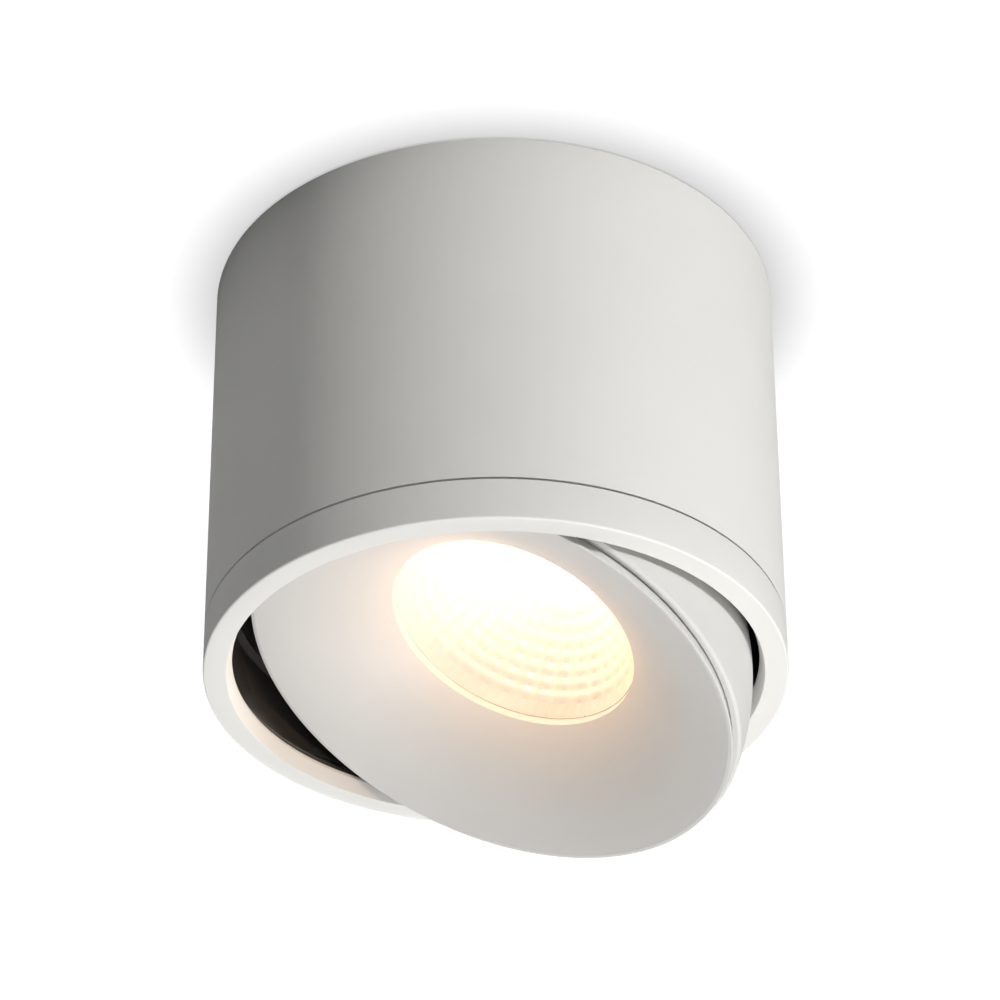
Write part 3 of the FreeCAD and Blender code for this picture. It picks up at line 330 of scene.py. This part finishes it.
def rounded(corners, steps=5):
    """Profile points from corners (radius, height, fillet): each fillet becomes an arc."""
    points = []
    count = len(corners)
    for number, (r, z, fillet) in enumerate(corners):
        here = Vector((r, z))
        if fillet <= 0.0:
            points.append(here)
            continue
        before = (Vector(corners[number - 1][:2]) - here)
        after = (Vector(corners[(number + 1) % count][:2]) - here)
        opening = before.angle(after)
        reach = fillet / math.tan(opening / 2)
        reach = min(reach, before.length * 0.45, after.length * 0.45)
        start = here + before.normalized() * reach
        end = here + after.normalized() * reach
        centre = here + (before.normalized() + after.normalized()).normalized() * (
            reach / math.cos(opening / 2))
        for step in range(steps + 1):
            share = step / steps
            blend = (start - centre) * (1 - share) + (end - centre) * share
            size = (start - centre).length
            points.append(centre + blend.normalized() * size)
    return points


def arc(start, end, radius, side, steps):
    """Points strictly between start and end on a circle; side says where its centre lies."""
    start, end = Vector(start), Vector(end)
    half = (end - start) / 2
    left = Vector((-half.y, half.x)).normalized()
    centre = start + half + left * side * math.sqrt(max(radius ** 2 - half.length_squared, 0.0))
    first = math.atan2(*(start - centre).yx)
    last = math.atan2(*(end - centre).yx)
    swing = (last - first + math.pi) % (2 * math.pi) - math.pi
    return [centre + Vector((math.cos(first + swing * k / steps),
                             math.sin(first + swing * k / steps))) * radius
            for k in range(1, steps)]


def lathe(name, profile, matrix=None, segments=192, sharp_degrees=28.0):
    """Turns a closed profile of (radius, height) points about the vertical axis."""
    mesh = bmesh.new()
    rings = []
    for point in profile:
        r, z = point[0], point[1]
        if r < 1e-7:
            rings.append([mesh.verts.new((0.0, 0.0, z))])
        else:
            rings.append([mesh.verts.new((r * math.cos(2 * math.pi * k / segments),
                                          r * math.sin(2 * math.pi * k / segments), z))
                          for k in range(segments)])
    for number, ring in enumerate(rings):
        following = rings[(number + 1) % len(rings)]
        if len(ring) == 1 and len(following) == 1:
            continue
        for k in range(segments):
            n = (k + 1) % segments
            if len(ring) == 1:
                corners = [ring[0], following[n], following[k]]
            elif len(following) == 1:
                corners = [ring[k], ring[n], following[0]]
            else:
                corners = [ring[k], ring[n], following[n], following[k]]
            mesh.faces.new(corners)
    return finish_mesh(name, mesh, matrix, sharp_degrees)


def finish_mesh(name, mesh, matrix=None, sharp_degrees=28.0):
    bmesh.ops.recalc_face_normals(mesh, faces=mesh.faces)
    if matrix is not None:
        mesh.transform(matrix)
    data = bpy.data.meshes.new(name)
    mesh.to_mesh(data)
    mesh.free()
    data.shade_smooth()
    data.set_sharp_from_angle(angle=math.radians(sharp_degrees))
    piece = bpy.data.objects.new(name, data)
    bpy.context.scene.collection.objects.link(piece)
    return piece


def settle(piece, body, slot_name, material, *nodes):
    """Gives a piece its finish, its body and the nodes that it stands for."""
    piece.data.materials.clear()
    piece.data.materials.append(material)
    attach(piece, body)
    if nodes:
        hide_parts(*nodes)
    return piece


# ---- the object's pieces ----
class SPOT_OT_housing(bpy.types.Operator):
    """Turn the housing: cylinder, deck and bearing shelf in one"""
    bl_idname = "spot.housing"
    bl_label = "Housing"

    def execute(self, context):
        size, _ = sizes()
        low = -size.height + size.ring_height + size.seam
        top = -size.ceiling_gap
        bore = size.radius - size.wall
        deck = -size.deck_top
        shelf = -size.shelf_low
        corners = [
            (size.radius, low, size.seam_edge), (size.radius, top, size.edge), (bore, top, 0.0),
            (bore, deck, 0.0), (0.0, deck, 0.0), (0.0, deck - size.deck_thick, 0.0),
            (bore, deck - size.deck_thick, 0.0), (bore, shelf + size.shelf_thick, 0.0),
            (size.shelf_bore, shelf + size.shelf_thick, 0.0), (size.shelf_bore, shelf, 0.0),
            (size.radius - size.foot_wall, shelf, 0.0), (size.radius - size.foot_wall, low, 0.0)]
        piece = lathe("housing_cylinder", rounded(corners), segments=256)
        look = context.scene.spot_colours
        powder = powder_coat("powder_coat", look.powder, look.powder_shade)
        settle(piece, "housing", "white_coat", powder, "housing_shell")
        return {"FINISHED"}


class SPOT_OT_trim_ring(bpy.types.Operator):
    """Turn the trim ring with its flat face and inward lip"""
    bl_idname = "spot.trim_ring"
    bl_label = "Trim ring"

    def execute(self, context):
        size, _ = sizes()
        face = -size.height
        top = face + size.ring_height
        bore = size.radius - size.face_width
        lip = bore - size.lip_reach
        seat = size.barrel_radius + size.fit
        ledge = face + size.lip_rise + size.lip_land
        corners = [
            (bore, face, size.edge), (size.radius, face, size.ring_edge),
            (size.radius, top, size.seam_edge), (seat, top, 0.0), (seat, ledge, 0.0),
            (lip, ledge, size.edge), (lip, face + size.lip_rise, size.edge)]
        piece = lathe("trim_ring_face", rounded(corners), segments=256)
        settle(piece, "gimbal", "white_coat", bpy.data.materials["powder_coat"], "trim_ring")
        return {"FINISHED"}


def boss(size, side):
    """Round-bottomed pivot boss on the barrel's inner wall, on one end of the tilting axis."""
    pivot = joint("tilt")["pos_m"][2]
    radius = size.boss_radius
    inner = size.radius - size.face_width - size.lip_reach
    outer = math.sqrt(size.barrel_radius ** 2 - radius ** 2)
    steps = 16
    outline = [(radius * math.cos(math.pi * (1 + k / steps)),
                pivot + radius * math.sin(math.pi * (1 + k / steps))) for k in range(steps + 1)]
    outline += [(radius, pivot + size.boss_rise), (-radius, pivot + size.boss_rise)]
    mesh = bmesh.new()
    near = [mesh.verts.new((x, side * inner, z)) for x, z in outline]
    far = [mesh.verts.new((x, side * outer, z)) for x, z in outline]
    mesh.faces.new(near)
    mesh.faces.new(reversed(far))
    for k in range(len(outline)):
        n = (k + 1) % len(outline)
        mesh.faces.new([near[k], near[n], far[n], far[k]])
    name = "barrel_boss_left" if side < 0 else "barrel_boss_right"
    return finish_mesh(name, mesh, gimbal_matrix())


class SPOT_OT_barrel(bpy.types.Operator):
    """Turn the gloss black barrel with its bead and set its two pivot bosses"""
    bl_idname = "spot.barrel"
    bl_label = "Barrel"

    def execute(self, context):
        size, _ = sizes()
        seat = -size.height + size.lip_rise + size.lip_land
        outer = size.barrel_radius
        inner = outer - size.barrel_wall
        neck = outer - size.neck_step
        bead = size.bead
        shoulder = -size.shelf_low - 4 * size.fit
        step = shoulder - size.barrel_wall
        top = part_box("inner_barrel")[1].z
        corners = [
            (outer, seat, 0.0), (outer, shoulder, size.edge), (neck, shoulder, 0.0),
            (neck, top, size.edge), (neck - size.barrel_wall, top, size.edge),
            (neck - size.barrel_wall, step, size.ring_edge),
            (inner, step - size.neck_step, size.ring_edge), (inner, seat + 4 * bead, bead),
            (inner - bead, seat + 3 * bead, bead), (inner - bead, seat + 2 * bead, bead),
            (inner, seat + bead / 2, 0.0), (inner, seat, 0.0)]
        # The barrel's lacquer carries a painted sheen in its lifted dark grey base
        lacquer = black_lacquer()
        piece = lathe("barrel_wall", rounded(corners), segments=256)
        settle(piece, "gimbal", "black_coat", lacquer, "inner_barrel")
        for side in (-1, 1):
            settle(boss(size, side), "gimbal", "black_coat", lacquer)
        return {"FINISHED"}


class SPOT_OT_head_shell(bpy.types.Operator):
    """Turn the ball-shaped head shell"""
    bl_idname = "spot.head_shell"
    bl_label = "Head shell"

    def execute(self, context):
        _, head = sizes()
        shift = head.pivot_depth

        def on_ball(radius, depth):
            return math.sqrt(radius ** 2 - (depth - head.ball_depth) ** 2)

        front = head.rim_thick + head.groove
        edge = on_ball(head.ball_radius, front + head.front_edge)
        rear = on_ball(head.ball_radius, head.shell_depth)
        seat = head.mouth - head.groove_depth + 0.1 * MM
        inner = head.ball_radius - head.wall
        flange_front = head.shell_depth - head.flange
        rounding = head.front_edge / 3
        start = rounded([
            (seat, front, rounding), (edge - head.front_edge, front, rounding),
            (edge, front + head.front_edge, 0.0), (rear, head.shell_depth, 0.0),
            (seat, head.shell_depth, 0.0)])[:-2]
        outer = arc((edge, front + head.front_edge), (rear, head.shell_depth),
                    head.ball_radius, 1, 48)
        inside = on_ball(inner, flange_front)
        ledge = on_ball(inner, head.skirt_end)
        back = [Vector((rear, head.shell_depth)), Vector((head.opening, head.shell_depth)),
                Vector((head.opening, flange_front)), Vector((inside, flange_front))]
        inner_arc = arc((inside, flange_front), (ledge, head.skirt_end), inner, -1, 32)
        end = [Vector((ledge, head.skirt_end)), Vector((seat, head.skirt_end))]
        profile = [(p[0], p[1] - shift) for p in start + outer + back + inner_arc + end]
        piece = lathe("head_ball", profile, head_matrix(), segments=256)
        look = context.scene.spot_colours
        # The head shell and dish take the greyer coat: painted shade on the head
        powder = powder_coat("head_powder_coat", look.head_powder_painted_shade, look.head_thin_painted_shade)
        settle(piece, "lamp_head", "white_coat", powder, "head_shell")
        return {"FINISHED"}


class SPOT_OT_baffle(bpy.types.Operator):
    """Turn the white dish with its rim, groove and throat"""
    bl_idname = "spot.baffle"
    bl_label = "Baffle"

    def execute(self, context):
        _, head = sizes()
        shift = head.pivot_depth
        dish = head.mouth - head.rim_land
        skirt = head.mouth - head.groove_depth
        edge = 0.12 * MM
        throat_end = head.throat_depth + head.collar
        collar = head.throat + head.dish_wall
        rim = rounded([
            (dish, 0.0, edge * 2), (head.mouth, 0.0, edge), (head.mouth, head.rim_thick, edge),
            (skirt, head.rim_thick, edge), (skirt, head.skirt_end, 0.0),
            (skirt - head.skirt_wall, head.skirt_end, 0.0),
            (skirt - head.skirt_wall, head.rim_thick + head.dish_wall, 0.0),
            (head.throat, head.throat_depth, 0.0)])[:-1]
        behind = arc((skirt - head.skirt_wall, head.rim_thick + head.dish_wall),
                     (collar, head.throat_depth + head.dish_wall / 2), head.dish_bow, -1, 20)
        collar_end = [Vector((collar, head.throat_depth + head.dish_wall / 2)),
                      Vector((collar, throat_end)), Vector((head.throat, throat_end))]
        front = [Vector((head.throat, head.throat_depth))]
        front += arc((head.throat, head.throat_depth), (dish, 0.0), head.dish_bow, 1, 40)
        profile = [(p[0], p[1] - shift) for p in rim + behind + collar_end + front]
        piece = lathe("dish", profile, head_matrix(), segments=256)
        # Same greyer coat as the head shell: painted shade on the dish
        settle(piece, "lamp_head", "white_coat", bpy.data.materials["head_powder_coat"],
               "front_baffle")
        return {"FINISHED"}


class SPOT_OT_reflector(bpy.types.Operator):
    """Build the reflector: a smooth band at its rim, then rows of pillow-shaped facets"""
    bl_idname = "spot.reflector"
    bl_label = "Reflector"

    def execute(self, context):
        _, head = sizes()
        shift = head.pivot_depth
        facets_front = head.reflector_front + head.rim_band
        facets_length = head.reflector_back - facets_front
        columns, rows, fine = head.facets_round, head.facet_rows, 4

        def parabola(share):
            return math.sqrt(head.reflector_rim ** 2 * (1 - share)
                             + head.reflector_end ** 2 * share)

        rim = head.throat - 0.02 * MM
        mesh = bmesh.new()
        turns = [2 * math.pi * k / (columns * fine) for k in range(columns * fine)]
        grid = [[mesh.verts.new(((rim - head.rim_lip) * math.cos(turn),
                                 (rim - head.rim_lip) * math.sin(turn),
                                 head.reflector_front - shift)) for turn in turns]]
        for i in range(rows * fine + 1):
            share = i / (rows * fine)
            row_share = math.floor(share * rows + 1e-9)
            low = parabola(row_share / rows)
            high = parabola(min(row_share + 1, rows) / rows)
            within = share * rows - row_share
            flat = low + (high - low) * within
            line = []
            for k, turn in enumerate(turns):
                column_share = (k % fine) / fine
                half = math.pi / columns
                local = (column_share * 2 - 1) * half
                chord = flat * math.cos(half) / math.cos(local)
                pillow = math.sin(math.pi * within) * math.sin(math.pi * column_share)
                r = chord + head.facet_bulge * (0.35 - pillow)
                z = facets_front + facets_length * share - shift
                line.append(mesh.verts.new((r * math.cos(turn), r * math.sin(turn), z)))
            grid.append(line)
        wall = head.reflector_wall + head.facet_bulge
        flange = head.reflector_front + head.reflector_flange
        outline = [(rim, head.reflector_front), (rim, flange)]
        steps = 15
        for step in range(steps + 1):
            z = flange + (head.reflector_back - flange) * step / steps
            share = max(z - facets_front, 0.0) / facets_length
            outline.append((min(parabola(share) + wall, rim), z))
        shell = [[mesh.verts.new((r * math.cos(turn), r * math.sin(turn), z - shift))
                  for turn in turns] for r, z in outline]
        loops = list(reversed(grid)) + shell
        for number, ring in enumerate(loops):
            following = loops[(number + 1) % len(loops)]
            for k in range(len(ring)):
                n = (k + 1) % len(ring)
                mesh.faces.new([ring[k], ring[n], following[n], following[k]])
        piece = finish_mesh("reflector_cup", mesh, head_matrix(), sharp_degrees=14.0)
        settle(piece, "lamp_head", "reflector_metal", metallised_plastic(), "reflector")
        return {"FINISHED"}


class SPOT_OT_emitter(bpy.types.Operator):
    """Build the lit phosphor face and the warm lamp in the throat"""
    bl_idname = "spot.emitter"
    bl_label = "Emitter"

    def execute(self, context):
        _, head = sizes()
        light = context.scene.spot_light
        rear = head.reflector_back + 0.6 * MM - head.pivot_depth
        front = rear - head.emitter_thick
        steps = 8
        domed = [(head.emitter_radius * math.cos(math.pi / 2 * k / steps),
                  front + head.emitter_thick / 2 * (1 - math.sin(math.pi / 2 * k / steps)))
                 for k in range(steps)]
        profile = [(0.0, rear), (head.emitter_radius, rear)] + domed + [(0.0, front)]
        piece = lathe("emitter_face", profile, head_matrix(), segments=96)
        settle(piece, "lamp_head", "phosphor", phosphor(), "led_emitter")
        look = context.scene.spot_colours
        warm_lamp("cup_lamp", 22 * MM, radius=6 * MM, power=light.cup, tint=look.glow)
        warm_lamp("throat_lamp", 9 * MM, radius=8 * MM, power=light.spill, tint=look.spill)
        return {"FINISHED"}


def warm_lamp(name, depth, radius, power, tint):
    """Small lamp on the beam's axis, this deep behind the mouth, for the LED's stray light."""
    lamp = bpy.data.lights.new(name, "POINT")
    lamp.energy = power
    lamp.shadow_soft_size = radius
    lamp.color = tint
    holder = bpy.data.objects.new(name, lamp)
    place = Vector((0.0, 0.0, depth - bpy.context.scene.spot_head.pivot_depth))
    holder.location = head_matrix() @ place
    holder.visible_camera = False
    holder.visible_glossy = False
    bpy.context.scene.collection.objects.link(holder)
    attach(holder, "lamp_head")


class SPOT_OT_hidden_parts(bpy.types.Operator):
    """Give the plate, driver, bearings, heat sink and fixings their finishes"""
    bl_idname = "spot.hidden_parts"
    bl_label = "Hidden parts"

    def execute(self, context):
        look = context.scene.spot_colours
        zinc = plated_steel("zinc_plated_steel", look.zinc, 0.34)
        spring = plated_steel("spring_steel", look.steel, 0.42)
        anodised = coated("anodised_aluminium", look.anodised, [c * 0.8 for c in look.anodised],
                          8.0, 0.4, 0.42, 0.05, 0.1, 0.02, Metallic=0.6)
        polyamide = moulded("polyamide", look.plastic, 0.5)
        case = moulded("polycarbonate", look.case, 0.42)
        acetal = moulded("acetal", look.acetal, 0.4)
        rubber = moulded("rubber", look.rubber, 0.78, grain_mm=0.4)
        mask = moulded("solder_mask", look.mask, 0.3)
        foil = moulded("silicone_foil", look.foil, 0.62, grain_mm=0.3)
        finishes = {
            "mounting_plate": zinc, "lock_studs": zinc, "driver_screws": zinc,
            "terminal_screws": zinc, "stop_pin": zinc, "pivot_pins": zinc,
            "holder_screws": zinc, "head_screws": zinc, "snap_ring": spring,
            "heat_sink": anodised, "terminal_block": polyamide, "led_holder": polyamide,
            "driver_case": case, "driver_cover": case, "slide_ring": acetal,
            "cable_grommet": rubber, "bump_stops": rubber, "lead_grommet": rubber,
            "led_board": mask, "thermal_pad": foil}
        for name, material in finishes.items():
            node = frame["nodes"][name]
            node.data.materials.clear()
            node.data.materials.append(material)
        return {"FINISHED"}


# ---- stage ----
AIM = Vector((0.0, 0.0, -40 * MM))  # middle of the object, where camera and lamps look

# name, place, width, power: two lamps for the photo's view and two for the others
LAMPS = (("side_lamp", (0.91, -0.85, -0.10), 0.16, "side_power"),
         ("low_lamp", (0.22, 0.10, -1.22), 0.5, "low_power"),
         ("back_lamp", (-0.15, 1.20, -0.05), 0.16, "back_power"),
         ("top_lamp", (-0.20, -0.30, 1.10), 0.4, "back_power"))
FLOOR_DEPTH, FLOOR_REACH = 1.5, 6.0
CEILING_REACH = 3.0
PINHOLE = 0.5 * MM  # the floor is the same sheet as the ceiling, with hardly a hole


def sheet_round(name, z, hole, reach, facing):
    """Flat round sheet with a hole in it; facing says whether its front looks up or down."""
    mesh = bmesh.new()
    turns = [2 * math.pi * k / 128 for k in range(128)]
    near, far = [[mesh.verts.new((r * math.cos(turn), r * math.sin(turn), z)) for turn in turns]
                 for r in (hole, reach)]
    for k in range(len(turns)):
        corners = [near[k - 1], far[k - 1], far[k], near[k]]
        mesh.faces.new(corners if facing > 0 else list(reversed(corners)))
    data = bpy.data.meshes.new(name)
    mesh.to_mesh(data)
    mesh.free()
    sheet = bpy.data.objects.new(name, data)
    bpy.context.scene.collection.objects.link(sheet)
    return sheet


def ceiling_paper(white, shade):
    """Matte white ceiling that is only there from below, so that other views see past it.
    Its hole, over the housing, lets light reach the mounting plate in those views.
    The eye sees it lit evenly, with painted contact shade within about 12 mm of what hangs on it."""
    material, tree = new_material("ceiling_paper")
    side = add(tree, "ShaderNodeNewGeometry").outputs["Backfacing"]
    seen = add(tree, "ShaderNodeLightPath").outputs["Is Camera Ray"]
    # Painted contact shade: occlusion darkens the ceiling's glow beside the housing
    nearness = add(tree, "ShaderNodeAmbientOcclusion", {"Distance": 12 * MM}, samples=16)
    level = add(tree, "ShaderNodeMapRange", {"Value": nearness.outputs["AO"], "From Min": 0.35,
                                             "To Min": shade, "To Max": white})
    lit = add(tree, "ShaderNodeEmission", {"Strength": level.outputs["Result"]})
    matte = add(tree, "ShaderNodeBsdfDiffuse", {"Color": rgba(hex_colour("#A0A0A0"))})
    both = add(tree, "ShaderNodeMixShader", {0: seen, 1: matte.outputs[0], 2: lit.outputs[0]})
    clear = add(tree, "ShaderNodeBsdfTransparent")
    mixed = add(tree, "ShaderNodeMixShader", {0: side, 1: both.outputs[0], 2: clear.outputs[0]})
    add(tree, "ShaderNodeOutputMaterial", {"Surface": mixed.outputs[0]})
    return material


def floor_paper():
    """Pale floor far below, lit evenly to the eye."""
    material, tree = new_material("floor_paper")
    seen = add(tree, "ShaderNodeLightPath").outputs["Is Camera Ray"]
    matte = add(tree, "ShaderNodeBsdfDiffuse", {"Color": rgba(hex_colour("#F2F2F1"))})
    lit = add(tree, "ShaderNodeEmission", {"Strength": 0.97})
    mixed = add(tree, "ShaderNodeMixShader", {0: seen, 1: matte.outputs[0], 2: lit.outputs[0]})
    add(tree, "ShaderNodeOutputMaterial", {"Surface": mixed.outputs[0]})
    return material


def world_light(level):
    """White to the eye and in reflections, and a plain level of light on everything else."""
    world = bpy.data.worlds.new("studio")
    world.use_nodes = True
    tree = world.node_tree
    tree.nodes.clear()
    path = add(tree, "ShaderNodeLightPath")
    eye = add(tree, "ShaderNodeMath", {0: path.outputs["Is Camera Ray"],
                                       1: path.outputs["Is Glossy Ray"]}, operation="MAXIMUM")
    seen = add(tree, "ShaderNodeMath", {0: eye.outputs[0],
                                        1: path.outputs["Is Transmission Ray"]},
               operation="MAXIMUM")
    strength = add(tree, "ShaderNodeMapRange", {"Value": seen.outputs[0], "To Min": level,
                                                "To Max": 1.0})
    sky = add(tree, "ShaderNodeBackground", {"Color": (1.0, 1.0, 1.0, 1.0),
                                             "Strength": strength.outputs["Result"]})
    add(tree, "ShaderNodeOutputWorld", {"Surface": sky.outputs[0]})
    bpy.context.scene.world = world


def photo_camera():
    """Camera below the light, looking up: the view that the photograph was taken from."""
    picture = 1000.0
    focal_pixels = 4386.26
    distance = 0.7709
    elevation = math.radians(34.02)
    roll = math.radians(0.29)
    aim_x, aim_y = 494.86, 493.15
    forward = Vector((0.0, math.cos(elevation), math.sin(elevation)))
    right = Vector((1.0, 0.0, 0.0))
    up = right.cross(forward)
    right_rolled = right * math.cos(roll) - up * math.sin(roll)
    up_rolled = up * math.cos(roll) + right * math.sin(roll)
    data = bpy.data.cameras.new("photo_camera")
    data.sensor_width = 36.0
    data.lens = focal_pixels / picture * data.sensor_width
    data.shift_x = (picture / 2 - aim_x) / picture
    data.shift_y = (aim_y - picture / 2) / picture
    data.clip_start, data.clip_end = 0.01, 50.0
    camera = bpy.data.objects.new("photo_camera", data)
    turn = Matrix((right_rolled, up_rolled, -forward)).transposed().to_4x4()
    camera.matrix_world = Matrix.Translation(AIM - forward * distance) @ turn
    bpy.context.scene.collection.objects.link(camera)
    bpy.context.scene.camera = camera


def soft_lamp(name, place, size, power):
    """White disk lamp that looks at the object."""
    lamp = bpy.data.lights.new(name, "AREA")
    lamp.shape = "DISK"
    lamp.size = size
    lamp.energy = power
    holder = bpy.data.objects.new(name, lamp)
    holder.location = place
    aim = AIM - Vector(place)
    holder.rotation_mode = "QUATERNION"
    holder.rotation_quaternion = aim.to_track_quat("-Z", "Y")
    holder.visible_camera = False
    bpy.context.scene.collection.objects.link(holder)


class SPOT_OT_stage(bpy.types.Operator):
    """Set up the ceiling, floor, lamps, world and camera"""
    bl_idname = "spot.stage"
    bl_label = "Stage"

    def execute(self, context):
        light = context.scene.spot_light
        size, _ = sizes()
        ceiling = sheet_round("ceiling", 0.0, size.radius - size.wall / 2, CEILING_REACH, -1)
        ceiling.data.materials.append(ceiling_paper(light.ceiling, light.contact))
        floor = sheet_round("floor", -FLOOR_DEPTH, PINHOLE, FLOOR_REACH, 1)
        floor.data.materials.append(floor_paper())
        world_light(light.ambient)
        for name, place, width, power in LAMPS:
            soft_lamp(name, place, width, getattr(light, power))
        photo_camera()
        context.scene.view_settings.view_transform = "Standard"
        return {"FINISHED"}


OPERATORS = [SPOT_OT_housing, SPOT_OT_trim_ring, SPOT_OT_barrel, SPOT_OT_head_shell,
             SPOT_OT_baffle, SPOT_OT_reflector, SPOT_OT_emitter, SPOT_OT_hidden_parts,
             SPOT_OT_stage]
GROUPS = {"spot_housing": HousingSizes, "spot_head": HeadSizes, "spot_colours": FinishColours,
          "spot_light": StudioLight}


class SPOT_PT_panel(bpy.types.Panel):
    """Lists the pieces of the spotlight"""
    bl_label = "Spotlight"
    bl_space_type = "VIEW_3D"
    bl_region_type = "UI"
    bl_category = "Spotlight"

    def draw(self, context):
        for operator in OPERATORS:
            self.layout.operator(operator.bl_idname, text=operator.bl_label)


def register():
    for group in GROUPS.values():
        bpy.utils.register_class(group)
    for operator in OPERATORS:
        bpy.utils.register_class(operator)
    bpy.utils.register_class(SPOT_PT_panel)
    for name, group in GROUPS.items():
        setattr(bpy.types.Scene, name, bpy.props.PointerProperty(type=group))


def unregister():
    for name in GROUPS:
        delattr(bpy.types.Scene, name)
    bpy.utils.unregister_class(SPOT_PT_panel)
    for operator in reversed(OPERATORS):
        bpy.utils.unregister_class(operator)
    for group in reversed(list(GROUPS.values())):
        bpy.utils.unregister_class(group)


def main():
    register()
    bpy.ops.spot.housing()
    bpy.ops.spot.trim_ring()
    bpy.ops.spot.barrel()
    bpy.ops.spot.head_shell()
    bpy.ops.spot.baffle()
    bpy.ops.spot.reflector()
    bpy.ops.spot.emitter()
    bpy.ops.spot.hidden_parts()
    bpy.ops.spot.stage()


if __name__ == "__main__":
    main()
